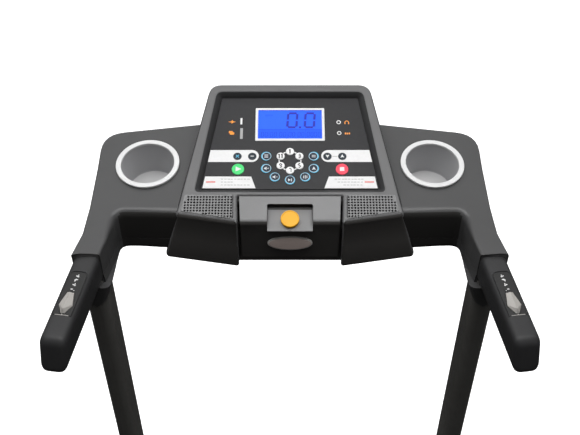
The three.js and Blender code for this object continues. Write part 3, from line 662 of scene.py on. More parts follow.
# The skirt's foot in the machine's plan, corner for corner with the rim.
SKIRT_PLAN = [
    (-203, 74, 7), (-81, 60, 6), (-83, 74, 2), (83, 74, 2), (81, 60, 6), (203, 74, 7),
    (153, 265, 22), (-153, 265, 22),
]


def skirt_height(x, y):
    """The skirt ends low at the pods' inner corners, and rises out and back."""
    if y > 74:
        return 1039 + 121 * (y - 74) / 191
    return 1029.5 + 9.5 * max(0, abs(x) - 81) / 122


def on_panel(x, v, n):
    """A point of the panel, n above its face, in the machine's frame and in millimetres."""
    return (PANEL_TO_MACHINE @ (Vector((x, v, n)) * MM)) / MM


def housing():
    outline = rounded(RIM, 6)
    radii = [4 + 5 * ease((8 - v) / 16) * (abs(x) > 83) for x, v in outline]
    rings = []
    for sine, cosine in quarter_turn(6):
        moved = inset_each(outline, [r * (1 - sine) for r in radii])
        rings.append([on_panel(x, v, -r * (1 - cosine)) for (x, v), r in zip(moved, radii)])
    plan = rounded(SKIRT_PLAN, 6)
    skirt = [Vector((x, y, skirt_height(x, y))) for x, y in plan]
    rings.append([a.lerp(b, 0.5) for a, b in zip(rings[6], skirt)])
    for sine, cosine in quarter_turn(4):
        lift = SKIRT_ROUND * (1 - sine)
        moved = inset(plan, SKIRT_ROUND * (1 - cosine))
        rings.append([
            Vector((x, y, foot.z)) + (top - foot).normalized() * lift
            for (x, y), foot, top in zip(moved, skirt, rings[6])
        ])
    bm = bmesh.new()
    rows = add_rings(bm, rings)
    skin(bm, rows)
    fill(bm, [rows[-1]])
    pits = [pit(bm, rounded(MOUTH, 6), rounded(FILM, 6), 0.9, RECESS - 2.2)]
    for side in (1, -1):
        seat = [(side * x, v) for x, v in grille_seat()]
        pits.append(pit(bm, seat, inset(seat, 0.1), 0.2, -3.2))
    fill(bm, [rows[0], *pits])
    return to_mesh(bm, MACHINE)


def pit(bm, mouth, floor, edge, depth):
    """A recess in the panel from a mouth outline down to a floor outline; returns its rim."""
    levels = [(0.0, 0.0), (0.12, -edge * 0.4), (0.25, -edge * 1.2), (0.96, depth + 1.6), (1.0, depth)]
    rings = []
    for share, n in levels:
        ring = [Vector(a).lerp(Vector(b), share) for a, b in zip(mouth, floor)]
        rings.append([on_panel(p.x, p.y, n) for p in ring])
    rows = add_rings(bm, rings)
    skin(bm, rows)
    fill(bm, [rows[-1]])
    return rows[0]


display_rim = new_piece("display_rim", housing(), "housing", "stand", ["display_housing"], 32)
# Painted shade: the recess walls and the forward faces of the display housing get darker plastics.
shade_faces(display_rim, "recess", PANEL, lambda at, n: (
    -9.9 < at.z < -1.0 and abs(at.x) < 156 and 32 < at.y < 228 and n.z < 0.9
))
shade_faces(display_rim, "front", MACHINE, lambda at, n: n.y < -0.8 and at.y < 100)


# ---------- middle tray, with the safety key's dock ----------
DOCK = {"half": 35.8, "far": 13.2, "floor": -8.5}
TRAY = {"half": 78, "back": 27, "edge": -12, "round": 9, "foot": 1040.5}


def tray():
    """The tray's section runs down its top, over a soft edge and down its front."""
    back, edge, corner, foot = TRAY["back"], TRAY["edge"], TRAY["round"], TRAY["foot"]
    section = [(back, -3.5), (back, -0.6), (back - 0.6, 0), (DOCK["far"], 0), (0, 0), (edge, 0)]
    section += [
        (edge - corner * sine, -corner * (1 - cosine)) for sine, cosine in quarter_turn(6)
    ]
    path = [on_panel(0, v, n) for v, n in section]
    front = path[-1]
    for z in (1092, 1074, 1056, foot + 2.5, foot):
        lean = (front.z - z) / (front.z - foot)
        path.append(Vector((0, front.y + 6.5 * lean + (3 if z == foot else 0), z)))
    path += [Vector((0, 92, foot)), Vector((0, 104, 1128))]
    stations = [v for v, _ in section]
    stations += [edge - corner] * (len(path) - len(stations))
    rings = []
    for x in (-TRAY["half"], -60, -DOCK["half"], -20, 0, 20, DOCK["half"], 60, TRAY["half"]):
        ring = []
        for v, (_, y, z) in zip(stations, path):
            side = x * 1.02 - math.copysign(0.055 * max(0, back - v), x)
            ring.append((side if abs(x) == TRAY["half"] else x, y, z))
        rings.append(ring)
    body = loft(rings, MACHINE)
    dock = slab(rounded_box(71.6, 90, 3, 3, 0, DOCK["far"] - 45), DOCK["floor"] - 2.4, 12)
    return carved(body, dock)


def carved(mesh, *cutters):
    """Cuts solids out of a mesh with exact booleans and returns the result."""
    target = bpy.data.objects.new("carve_target", mesh)
    bpy.context.scene.collection.objects.link(target)
    tools = []
    for cutter in cutters:
        tool = bpy.data.objects.new("carve_tool", cutter)
        bpy.context.scene.collection.objects.link(tool)
        modifier = target.modifiers.new("cut", "BOOLEAN")
        modifier.operation = "DIFFERENCE"
        modifier.solver = "EXACT"
        modifier.object = tool
        tools.append(tool)
    graph = bpy.context.evaluated_depsgraph_get()
    made = bpy.data.meshes.new_from_object(target.evaluated_get(graph))
    for item in [target, *tools]:
        bpy.data.objects.remove(item)
    return made


console_tray = new_piece("console_tray", tray(), "tray", "stand", (), 32)
# Painted shade: the dock's far wall gets black plastic as painted shadow, and the tray's forward faces
# get the darker front plastic.
shade_faces(console_tray, "black", PANEL, lambda at, n: (
    abs(at.x) < 36 and at.y > 12 and at.z < 0 and n.y < -0.7
))
shade_faces(console_tray, "front", MACHINE, lambda at, n: n.y < -0.8 and at.z < 1128)

floor_plan = rounded_box(2 * DOCK["half"] - 1, 42.5, 1.5, 3, 0, DOCK["far"] - 21.6)
dock_floor = slab(floor_plan, DOCK["floor"] - 2, DOCK["floor"], 0.4)
new_piece("dock_floor", dock_floor, "tray", "stand", ["key_dock"])
# A thin black strip along the foot of the dock's far wall, as a painted shadow.
dock_shadow_plan = rounded_box(2 * DOCK["half"] - 1, 5.6, 2, 4, 0, DOCK["far"] - 3.2)
dock_back_shadow = slab(dock_shadow_plan, DOCK["floor"] - 0.2, DOCK["floor"] + 0.12)
new_piece("dock_back_shadow", dock_back_shadow, "black", "stand")

KEY_V = -10.5
SAFETY_KEY = [
    (0, -8.2), (13.6, -8.2), (14.4, -7.6), (14.5, -3.6), (14.2, -2.9), (13.6, -2.6), (12.9, -2.7),
    (12.5, -3.2), (0, -3.2),
]
safety_key = lathe(SAFETY_KEY, PANEL @ Matrix.Translation((0, KEY_V * MM, 0)), 64)
new_piece("safety_key_disc", safety_key, "yellow", "safety_key", ["safety_key"], 30)


# ---------- badge: a plain oval plate with no mark ----------
BADGE = tilted(0, 65.2, 1077.5, math.radians(90 - 5.5))
oval = [(35.5 * math.cos(math.radians(a)), 13 * math.sin(math.radians(a))) for a in range(0, 360, 6)]
new_piece("badge_rim", slab(oval, -2.5, 1.4, 1.0, BADGE), "badge", "stand")
# The badge face gives out a faint glow as painted light.
new_piece("badge_face", slab(inset(oval, 2.0), 0.5, 1.9, 0.4, BADGE), "badge_face", "stand")

# ---------- speaker grilles ----------
PITCH = 4.8


def grille_mesh():
    """A perforated plate: rows of holes on a square grid, whose ends follow its slanted lower edge."""
    outline = rounded(GRILLE, 4)
    holes = []
    first_column = [1, 1, 0, 0, 0, 0, 6, 11]
    for row, first in enumerate(first_column):
        for column in range(first, 16):
            x = 163.6 - PITCH * column
            v = 25.2 - PITCH * row
            holes.append(circle(x, v, 1.75, 12))
    return slab(outline, -0.4, 0.8, 0.4, PANEL, 2, holes)


add_pair("speaker_mesh", grille_mesh(), "grille", "stand", ["speaker_grille_{side}"])
# The black speaker cloth behind the holes, which also fills the grille's gap below and inside it as
# painted shadow.
speaker_cloth_and_shadow = slab(inset(grille_seat(), 0.15), -3.1, -0.45)
add_pair("speaker_cloth_and_shadow", speaker_cloth_and_shadow, "cloth", "stand")

# ---------- keypad overlay ----------
FILM_TOP = RECESS
PRINT = (FILM_TOP - 0.02, FILM_TOP + 0.12)
DISPLAY = {"half": 57, "v": 164.75}
QUICK = {"v": 95.2, "radius": 17.5}

QUICK_KEYS = {}
for i, number in enumerate((1, 3, 5, 7, 9, 11)):
    turn = math.pi / 2 - i * math.pi / 3
    QUICK_KEYS[f"key_speed_{number}"] = (
        QUICK["radius"] * math.cos(turn), QUICK["v"] + QUICK["radius"] * math.sin(turn), 6.5
    )
RING_KEYS = {
    "key_program": (-38.4, 103.6, 8.3), "key_volume_up": (-38.3, 80.9, 8.3),
    "key_volume_down": (-24.3, 65.2, 8.3), "key_track": (0, 59.8, 8.3),
    "key_incline_down": (24.3, 65.2, 8.3), "key_incline_up": (38.3, 80.9, 8.3),
    "key_mode": (38.4, 103.6, 8.3),
}
BAR_KEYS = {
    "key_fan": (-85, 103.6, 6.4), "key_mute": (-61, 103.6, 6.4),
    "key_slower": (60.5, 103.6, 6.4), "key_faster": (84.5, 103.6, 6.4),
}
MAIN_KEYS = {"key_start": (-83.5, 79.8, 9.9), "key_stop": (83.5, 79.8, 9.9)}
KEYS = {**QUICK_KEYS, **RING_KEYS, **BAR_KEYS, **MAIN_KEYS}


def film_mesh():
    window = rounded_box(2 * DISPLAY["half"] - 8, 55.5, 1.5, 3, 0, DISPLAY["v"])
    wells = [circle(x, v, radius + 0.4, 40) for x, v, radius in KEYS.values()]
    outline = inset(rounded(FILM, 6), 0.4)
    return slab(outline, FILM_TOP - 1.4, FILM_TOP, 0.25, PANEL, 2, [window, *wells])


new_piece("keypad_film", film_mesh(), "overlay", "stand", ["keypad_overlay"], 30)


def key_cap(name, material):
    x, v, radius = KEYS[name]
    profile = [
        (0, FILM_TOP - 2.6), (radius - 0.3, FILM_TOP - 2.6), (radius, FILM_TOP - 2.3),
        (radius, FILM_TOP + 0.35), (radius - 0.15, FILM_TOP + 0.62), (radius - 0.45, FILM_TOP + 0.75),
        (0, FILM_TOP + 0.8),
    ]
    cap = lathe(profile, PANEL @ Matrix.Translation((x * MM, v * MM, 0)), 48)
    new_piece(f"cap_{name[4:]}", cap, material, name, [name], 12)


for name in QUICK_KEYS:
    key_cap(name, "white_key")
for name in RING_KEYS:
    key_cap(name, "overlay")
for name in BAR_KEYS:
    key_cap(name, "dark_key")
key_cap("key_start", "green")
key_cap("key_stop", "red")


# ---------- key faces ----------
CAP_TOP = FILM_TOP + 0.78


def bar(x0, v0, x1, v1, width):
    """A straight stroke between two points, with square ends."""
    a, b = Vector((x0, v0)), Vector((x1, v1))
    side = (b - a).orthogonal().normalized() * width / 2
    return [(a + side)[:], (b + side)[:], (b - side)[:], (a - side)[:]]


def hoop(x, v, radius, width, steps=40):
    """A thin flat ring, as two half bands, lying on its back."""
    halves = []
    for start in (0, 180):
        outer = arc(x, v, radius, start, start + 180, steps // 2)
        inner = arc(x, v, radius - width, start + 180, start, steps // 2)
        halves.append(outer + inner)
    return halves


def inked(outlines, low, high):
    return joined([slab(outline, low, high) for outline in outlines])


def key_face(name, outlines, material, lift=0.0):
    """Raised ink on a key: outlines are placed about the key's centre."""
    x, v, _ = KEYS[name]
    moved = [[(x + px, v + pv) for px, pv in outline] for outline in outlines]
    mesh = inked(moved, CAP_TOP - 0.1 + lift, CAP_TOP + 0.1 + lift)
    new_piece(f"ink_{name[4:]}_{material}", mesh, material, name)


SEGMENT_SETS = {
    "0": "abcdef", "1": "bc", "3": "abcdg", "5": "acdfg", "7": "abc", "9": "abcdfg",
}


def segments(text, x, v, width, height, stroke, gap=1.35):
    """Seven-segment numerals, centred on (x, v)."""
    strokes = []
    advance = width * gap
    left = x - advance * (len(text) - 1) / 2
    w, h = width / 2 - stroke / 2, height / 2 - stroke / 2
    slots = {
        "a": (-w, h, w, h), "b": (w, h, w, 0), "c": (w, 0, w, -h), "d": (-w, -h, w, -h),
        "e": (-w, -h, -w, 0), "f": (-w, 0, -w, h), "g": (-w, 0, w, 0),
    }
    for i, digit in enumerate(text):
        cx = left + advance * i
        for letter in SEGMENT_SETS[digit]:
            x0, v0, x1, v1 = slots[letter]
            trim = stroke * 0.3
            along = Vector((x1 - x0, v1 - v0)).normalized() * trim
            strokes.append(bar(
                cx + x0 + along.x, v + v0 + along.y, cx + x1 - along.x, v + v1 - along.y, stroke
            ))
    return strokes


for number in (1, 3, 5, 7, 9, 11):
    if number in (1, 11):
        lefts = (0,) if number == 1 else (-2.2, 2.4)
        digits = [bar(x, -4.1, x, 4.1, 1.9) for x in lefts]
        digits += [bar(x - 1.9, 2.2, x, 3.5, 1.3) for x in lefts]
    else:
        digits = segments(str(number), 0, 0, 5.2, 8.2, 1.75)
    key_face(f"key_speed_{number}", digits, "black")

UP = [(-3.1, -2.8), (0, 3.4), (3.1, -2.8), (0, -1.5)]
DOWN = [(x, -v) for x, v in UP]
WAVES = [bar(-2.6, -2.4, -2.6, 2.4, 1.1), bar(0, -3.2, 0, 3.2, 1.1), bar(2.6, -2.4, 2.6, 2.4, 1.1)]
SPEAKER = [[(-3.4, -1.2), (-1.6, -1.2), (0.8, -3.2), (0.8, 3.2), (-1.6, 1.2), (-3.4, 1.2)]]
LIST = [bar(-3, 2.2, 3, 2.2, 1.0), bar(-3, 0, 3, 0, 1.0), bar(-3, -2.2, 3, -2.2, 1.0)]
GLYPHS = {
    "key_program": LIST,
    "key_mode": [bar(-3.2, 1.4, 3.2, 1.4, 1.1), bar(-3.2, -1.4, 3.2, -1.4, 1.1)],
    "key_volume_up": [*SPEAKER, bar(1.9, 0, 4.3, 0, 0.9), bar(3.1, -1.2, 3.1, 1.2, 0.9)],
    "key_volume_down": [*SPEAKER, bar(1.9, 0, 4.3, 0, 0.9)],
    "key_track": [[(-3, -2.6), (-3, 2.6), (1.2, 0)], bar(2.4, -2.6, 2.4, 2.6, 1.1)],
    "key_incline_down": WAVES,
    "key_incline_up": [UP],
}
for name, glyph in GLYPHS.items():
    x, v, radius = KEYS[name]
    inward = Vector((-x, QUICK["v"] - v)).normalized() * 0.65
    key_face(name, [circle(0, 0, radius - 0.2, 40)], "cyan", -0.06)
    key_face(name, [circle(inward.x, inward.y, 7.0, 40)], "white", 0.0)
    key_face(name, [circle(inward.x, inward.y, 6.55, 40)], "navy", 0.06)
    key_face(name, glyph, "pale_print", 0.14)
key_face("key_fan", [bar(-2.4, -2.4, 2.4, 2.4, 1.1), bar(-2.4, 2.4, 2.4, -2.4, 1.1)], "cyan")
key_face("key_mute", [bar(-2.6, 0, 2.6, 0, 1.3)], "white")
key_face("key_slower", [DOWN], "white")
key_face("key_faster", [UP], "white")
key_face("key_start", [[(-3.6, -4.6), (5.4, 0), (-3.6, 4.6)]], "white")
key_face("key_stop", [rounded_box(7, 7, 0.6, 2)], "white")

# ---------- ink on the overlay ----------
def film_side(v):
    """Half the overlay's width at a height v."""
    (low_x, low_v, _), (high_x, high_v, _) = FILM[1:3]
    return low_x + (high_x - low_x) * (v - low_v) / (high_v - low_v)


def print_on_film(name, outlines, material, lift=0.0):
    mesh = inked(outlines, PRINT[0] + lift, PRINT[1] + lift)
    new_piece(name, mesh, material, "stand")


def key_bar(side):
    """The wide white band behind a pair of small keys, pierced where they stand."""
    low, high = 93.2, 115.4
    outer = [(side * (film_side(high) - 1.5), high), (side * (film_side(low) - 1.5), low)]
    round_end = arc(50.6 + 11, 104.3, 11.1, 270, 90, 12)
    outline = outer + [(side * x, v) for x, v in round_end]
    centres = [(x, v) for x, v, _ in BAR_KEYS.values() if x * side > 0]
    return slab(outline, *PRINT, 0, PANEL, 1, [circle(x, v, 6.9, 36) for x, v in centres])


for side, word in ((1, "right"), (-1, "left")):
    new_piece(f"key_band_{word}", key_bar(side), "white", "stand")
    label = [
        (side * (film_side(66.4) - 2.6), 66.4), (side * 62, 66.4), (side * 54.5, 45.2),
        (side * (film_side(45.2) - 2.6), 45.2),
    ]
    print_on_film(f"notice_{word}", [label], "white")
    lines = []
    for row, dashes in enumerate((9, 4 if side < 0 else 8, 9 if side < 0 else 6)):
        v = 61.6 - row * 5.3
        start = 110 if side < 0 else 117 - row
        for dash in range(dashes):
            reach = start - 5.2 * dash
            lines.append(bar(side * reach, v, side * (reach - 3.4 - dash % 3 * 0.5), v, 1.1))
    print_on_film(f"notice_lines_{word}", lines, "grey_print", 0.06)
    tab = bar(side * (film_side(56.5) - 6), 56.5, side * (film_side(56.5) - 21), 56.5, 2.6)
    print_on_film(f"notice_tab_{word}", [tab], "faded_red", 0.06)

# Six short arcs that join one quick key to the next, clear of the caps.
links = []
for k in range(6):
    start, end = 90 + 60 * k + 23.4, 90 + 60 * k + 36.6
    band = arc(0, QUICK["v"], QUICK["radius"] + 1.0, start, end, 4)
    links.append(band + arc(0, QUICK["v"], QUICK["radius"] - 1.0, end, start, 4))
print_on_film("quick_key_ring", links, "white")
print_on_film("band_rule", [bar(68.5, 103.6, 76.5, 103.6, 1.1)], "grey_print", 0.06)

bolt = [(-6.4, 0), (-1.6, 1.5), (0.6, 3.6), (1.4, 1.2), (6.4, 0), (1.6, -1.5), (-0.6, -3.6), (-1.4, -1.2)]
print_on_film("mark_pulse", [[(x - 95.6, v + 169.6) for x, v in bolt]], "orange")
pages = [rounded_box(7.4, 4.6, 1.2, 3, -95.2, 147.2), rounded_box(6.2, 4.2, 1.0, 3, -97.2, 149.6)]
print_on_film("mark_speed", pages, "orange")
print_on_film("scale_pulse", [rounded_box(3.2, 12.4, 0.5, 2, -80.4, 170.8)], "white")
print_on_film("scale_speed", [rounded_box(4.4, 20.5, 0.5, 2, -79.6, 147)], "grey_print")
lamps = [*hoop(80.4, 168.9, 3.6, 1.3, 32), *hoop(80.8, 147.9, 3.6, 1.3, 32)]
print_on_film("lamp_rings", lamps, "white")
print_on_film("mark_sound", [
    *hoop(93.8, 168.4, 3.6, 1.2, 24)[:1], bar(90.8, 165.2, 90.8, 168.4, 1.7),
    bar(96.8, 165.2, 96.8, 168.4, 1.7),
], "orange")
wave = [bar(90 + 3.1 * k, 147, 92.2 + 3.1 * k, 147, 3.0) for k in range(3)]
print_on_film("mark_wave", wave, "orange")

# ---------- display ----------
FACE = FILM_TOP - 1.5
bezel_plan = rounded_box(2 * DISPLAY["half"], 63.5, 1.5, 3, 0, DISPLAY["v"])
opening = rounded_box(105.5, 55.6, 0.8, 2, 0, 164.9)
bezel = slab(bezel_plan, FACE - 4.5, FILM_TOP + 0.35, 0.4, PANEL, 2, [opening])
new_piece("display_bezel", bezel, "white", "stand", ["lcd_module"])
glass = slab(rounded_box(105.2, 55.4, 0.8, 2, 0, 164.9), FACE - 3, FILM_TOP - 0.45)
new_piece("display_glass", glass, "screen", "stand")
INK = (FILM_TOP - 0.5, FILM_TOP - 0.36)


def leaning(outlines, v0, slope=0.07):
    """Outlines slanted to the right above v0, as display numerals are."""
    return [[(x + (v - v0) * slope, v) for x, v in outline] for outline in outlines]


digits = [*segments("00", 17.2, 173, 19.2, 31.5, 4.1, 1.5), rounded_box(4, 4, 0.6, 2, 16.4, 159.2)]
new_piece("display_digits", inked(leaning(digits, 158), *INK), "segment", "stand")
ROW_V = 145.6
fields = [rounded_box(104, 18.4, 0.5, 2, 0, ROW_V + 0.6)]
fields += [bar(-41 + 3.3 * k, 182.4, -38.6 + 3.3 * k, 182.4, 3.4) for k in range(4)]
new_piece("display_fields", inked(fields, *INK), "segment_faint", "stand")
marks = [bar(-51, 155.3, 51, 155.3, 0.7)]
for x in (-42, -27, -12, 3, 18, 33, 45):
    marks += leaning(segments("00", x, ROW_V, 4.6, 9.4, 0.9, 1.35), ROW_V)
marks += [bar(x, 138, x, 154, 0.5) for x in (-34.5, -4.5, 25.5)]
new_piece("display_marks", inked(marks, INK[1] - 0.05, INK[1] + 0.06), "segment_pale", "stand")

# ---------- handle grips ----------
GRIP_WIDTH, GRIP_HEIGHT = 38.5, 49
GRIP_TIP = {"middle": 163.5, "lean": 0.5, "round": 9.5}
KITE = [(-5, 69), (5, 69), (10, 91.3), (2.5, 105), (-2.5, 105), (-10, 91.3)]


def grip_mesh():
    """A rounded bar that starts flat at the collar; its end leans out towards its lower edge."""
    middle, lean, corner = GRIP_TIP["middle"], GRIP_TIP["lean"], GRIP_TIP["round"]
    stations = [(y, 0, lean * ease((y - 104) / 46)) for y in (-10, 10, 60, 106, 116, 126, 136, 146)]
    for sine, cosine in quarter_turn(6):
        stations.append((middle - corner * (1 - sine), corner * (1 - cosine), lean))
    rings = []
    for y, shrink, tilt in stations:
        section = rounded_box(
            GRIP_WIDTH - 2 * shrink, GRIP_HEIGHT - 2 * shrink, max(3.0, 12.5 - shrink), 6
        )
        rings.append([(x, y - z * tilt, z) for x, z in section])
    mesh = loft(rings, GRIP_FRAME)
    collar = slab(
        [(240, COLLAR - 0.7), (380, COLLAR - 0.7), (380, 80), (240, 80)], 1000, 1200, 0, MACHINE
    )
    seat = rounded([(-13.8, 109.3, 1), (-13.8, 29.7, 10), (13.8, 29.7, 10), (13.8, 109.3, 1)], 6)
    pocket = slab(seat, 21, 40, 0, GRIP_FRAME)
    rocker_room = slab(inset(KITE, -1.4), 15.5, 40, 0, GRIP_FRAME)
    return carved(mesh, collar, pocket, rocker_room)


add_pair("grip_skin", grip_mesh(), "grip", "stand", ["grip_{side}"], 30)

# A dark neck closes the gap between the arm and the grip.
neck = loft([[(x, y, z) for x, z in rounded_box(35, 46, 11, 6)] for y in (-14, 6)], GRIP_FRAME)
add_pair("grip_neck", neck, "black", "stand")

PLATE_TOP = 23.4
plate = rounded([(-13.4, 108.8, 1), (-13.4, 30.2, 9.5), (13.4, 30.2, 9.5), (13.4, 108.8, 1)], 6)
plate_mesh = slab(plate, 21.2, PLATE_TOP + 0.5, 0.5, GRIP_FRAME, 3, [inset(KITE, -0.8)])
add_pair("grip_plate_skin", plate_mesh, "black", "stand", ["grip_plate_{side}"])


def rocker_mesh():
    """The kite-shaped rocker: four facets that meet in a ridge along its middle."""
    foot = [(x, y, 22.0) for x, y in KITE]
    rim = [(x, y, 24.4) for x, y in KITE]
    shoulder = [(x, y, 25.0) for x, y in inset(KITE, 0.8)]
    bm = bmesh.new()
    rows = add_rings(bm, (foot, rim, shoulder))
    skin(bm, rows)
    fill(bm, [rows[0]])
    near, far = add_rings(bm, [[(0, 71.0, 28.6), (0, 101, 29.0)]])[0]
    top = rows[2]
    for face in ((top[0], top[1], near), (top[1], top[2], far, near), (top[2], top[3], far),
                 (top[3], top[4], far), (top[4], top[5], far), (top[5], top[0], near, far)):
        bm.faces.new(face)
    return to_mesh(bm, GRIP_FRAME)


add_pair(
    "rocker_cap", rocker_mesh(), "rocker", "handle_rocker_{side}",
    ["handle_rocker_{side}"], 12,
)
icons = []
for y, turn in ((38, 1), (46, -1), (54, 1)):
    icons.append(bar(-2.4, y, 2.4, y + turn * 1.6, 1.5))
    icons.append(bar(0.6 * turn, y - 2.6, 1.4 * turn, y + 2.6, 1.1))
icons += [bar(-2.6, 62.4, 0.4, 62.4, 1.6), bar(2.4, 64.6, 3.4, 64.6, 1.4)]
icon_mesh = joined([
    slab(outline, PLATE_TOP + 0.45, PLATE_TOP + 0.62, 0, GRIP_FRAME) for outline in icons
])
add_pair("grip_marks", icon_mesh, "white", "stand")
tick = joined([
    slab(bar(*ends, 0.9), PLATE_TOP + 0.3, PLATE_TOP + 0.62, 0, GRIP_FRAME)
    for ends in ((-10, 108.1, 10, 108.1), (0, 105.6, 0, 107.6))
])
add_pair("grip_tick", tick, "rocker", "stand")

# ---------- the carried-over frame, deck and drive ----------
# Each node's material, edge bevel in millimetres and bevel segments.
DRESS = {
    "base_frame": ("steel_black", 1.2), "console_crossbar": ("steel_black", 0),
    "deck_frame": ("steel_black", 1.0), "running_board": ("deck", 1.0),
    "running_belt": ("belt", 0), "front_roller": ("steel", 0.6), "rear_roller": ("steel", 0.6),
    "motor": ("motor", 1.5), "motor_rotor": ("steel", 0.8), "drive_belt": ("rubber", 0),
    "motor_hood": ("hood", 3.0, 3), "power_switch": ("red", 0.8),
    "strut_cylinder": ("steel_black", 0.6), "strut_rod": ("steel", 0.5),
}
DRESS_PAIRS = {
    "upright": ("post", 0.4, 1), "side_rail": ("rail", 1.2), "deck_cap": ("lower", 3.0, 3),
    "rear_foot": ("rubber", 2.0), "transport_wheel": ("rubber", 1.0),
}
for node, look in DRESS.items():
    dress(node, *look)
for pair, look in DRESS_PAIRS.items():
    for side in ("left", "right"):
        dress(f"{pair}_{side}", *look)

# ---------- small fittings ----------
def facing(x, y, z, axis):
    """A frame at a point of the machine whose Z axis points along axis."""
    turn = Vector(axis).to_track_quat("Z", "Y").to_matrix().to_4x4()
    return MACHINE @ Matrix.Translation(Vector((x, y, z)) * MM) @ turn


def bolt_head(place, radius, height):
    """A round head with a socket in it, its foot a little below the surface."""
    profile = [
        (0, -1), (radius, -1), (radius, height * 0.6), (radius * 0.8, height), (radius * 0.5, height),
        (radius * 0.45, height * 0.2), (0, height * 0.2),
    ]
    return lathe(profile, place, 24)


def ring_band(inner, outer, low, high):
    """A closed profile for lathe(): a band with a small chamfer on its outer edges."""
    edge = min(0.8, (outer - inner) * 0.3)
    return [
        (inner, low), (outer - edge, low), (outer, low + edge), (outer, high - edge),
        (outer - edge, high), (inner, high),
    ]


UP_AXIS, DOWN_AXIS, OUT_AXIS, REAR_AXIS = (0, 0, 1), (0, 0, -1), (1, 0, 0), (0, -1, 0)

# The foot rails' grooved treads and their screws.
tread = [slab(rounded_box(52, 1068, 5, 4, 237, -835), 157.6, 158.8, 0.6, MACHINE)]
tread += [slab(rounded_box(2.6, 1056, 1.2, 2, x, -835), 158.6, 160.2, 0.5, MACHINE)
          for x in (216, 223, 230, 237, 244, 251, 258)]
add_pair("rail_tread", joined(tread), "strip", "deck")
rail_screws = [bolt_head(facing(237, y, 158, UP_AXIS), 5, 1.4) for y in (-280, -1388)]
add_pair("rail_screws", joined(rail_screws), "zinc", "deck")
tension = bolt_head(facing(238, -1440, 114.2, REAR_AXIS), 8, 2.4)
add_pair("belt_tension_bolt", tension, "zinc", "deck")

# The motor hood's air slots, cover panel, inlet, breaker and the switch's bezel.
NOSE_TILT = -math.atan2(44, 46)
BACK_RISE = 40 / 130


def nose(x):
    """A frame on the hood's sloping nose."""
    return tilted(x, 47, 180, NOSE_TILT)


def on_back(x, y):
    """A frame on the hood's back, which rises towards the nose."""
    return tilted(x, y, 186 + (y + 185) * BACK_RISE, math.atan(BACK_RISE))


SWITCH, INLET, BREAKER = nose(186), nose(152), nose(124)
vents = [slab(rounded_box(4.4, 30, 2.1, 3, 12 * k - 170), -0.5, 0.2, 0, nose(0)) for k in range(20)]
new_piece("hood_air_slots", joined(vents), "black", "deck")
bezel = slab(rounded_box(34, 42, 4, 4), -0.5, 1.6, 0.8, SWITCH, 3, [rounded_box(26, 34, 2, 3)])
new_piece("switch_bezel", bezel, "black", "deck")
new_piece("inlet_ring", lathe(ring_band(7.2, 11.5, -3, 2.2), INLET, 40), "black", "deck")
inlet_floor = lathe([(0, -7), (7.0, -7), (7.0, -5.6), (0, -5.6)], INLET, 32)
new_piece("inlet_floor", inlet_floor, "front", "deck")
pins = [
    slab(rounded_box(1.6, 3.6, 0.4, 1, x, v), -6, -1.5, 0.3, INLET)
    for x, v in ((-3.4, -1.6), (3.4, -1.6), (0, 3))
]
new_piece("inlet_pins", joined(pins), "zinc", "deck")
breaker = [(0, -1), (7.4, -1), (7.4, 1.4), (5.4, 2.2), (5.0, 2.2), (5.0, 4.6), (4.2, 5.4), (0, 5.6)]
new_piece("breaker_button", lathe(breaker, BREAKER, 32), "black", "deck")
panel = slab(rounded_box(400, 92, 12, 5), -0.5, 1.6, 1.2, on_back(0, -185))
new_piece("hood_panel", panel, "rail", "deck")
hood_screws = [bolt_head(on_back(235, y), 5.5, 1.6) for y in (-232, -140)]
add_pair("hood_screws", joined(hood_screws), "zinc", "deck")

# Under the hood: the motor's bands and end bells, and the drive's control board.
MOTOR_AXIS = facing(0, -75, 119, OUT_AXIS)
BOARD = {"x": 160, "y": -85, "low": 76, "high": 77.6}
ON_BOARD = 77.5
bands = [lathe(ring_band(44.8, 46.4, x, x + 3), MOTOR_AXIS, 48) for x in range(-138, 50, 12)]
new_piece("motor_bands", joined(bands), "motor", "deck")
bells = [
    lathe([(14, -150.2), (43.5, -150.2), (41, -154), (22, -156), (14, -156)], MOTOR_AXIS, 48),
    lathe([(0, 60.2), (43.5, 60.2), (41, 64), (20, 67), (0, 67.5)], MOTOR_AXIS, 48),
]
new_piece("motor_bells", joined(bells), "steel", "deck")
board_plan = rounded_box(104, 112, 3, 3, BOARD["x"], BOARD["y"])
board = slab(board_plan, BOARD["low"], BOARD["high"], 0.3, MACHINE)
new_piece("control_board", board, "board", "deck")
posts = [
    lathe(ring_band(1.5, 3.5, 69, 76), facing(BOARD["x"] + dx, BOARD["y"] + dy, 0, UP_AXIS), 20)
    for dx in (46, -46) for dy in (50, -50)
]
new_piece("board_spacers", joined(posts), "zinc", "deck")
sink = [slab(rounded_box(84, 34, 1, 2, BOARD["x"], -120), ON_BOARD, 82, 0.5, MACHINE)]
sink += [
    slab(rounded_box(84, 1.8, 0.5, 2, BOARD["x"], 4.3 * k - 135), 81.5, 112, 0.4, MACHINE)
    for k in range(8)
]
new_piece("heat_sink", joined(sink), "zinc", "deck")
can = [
    (0, ON_BOARD), (13, ON_BOARD), (13.4, 78.5), (13.4, 112), (12.6, 113), (12.9, 114), (13.4, 115),
    (12, 117.5), (0, 117),
]
new_piece("smoothing_capacitor", lathe(can, facing(134, -62, 0, UP_AXIS), 40), "navy", "deck")
coil = [(13 + 5 * math.cos(t), 84 + 5 * math.sin(t)) for t in [math.pi * k / 8 for k in range(16)]]
new_piece("choke_coil", lathe(coil, facing(190, -60, 0, UP_AXIS), 40), "copper", "deck")
relays = [slab(rounded_box(16, 20, 1.5, 3, 163, y), ON_BOARD, 94, 1.0, MACHINE) for y in (-88, -60)]
new_piece("relays", joined(relays), "black", "deck")

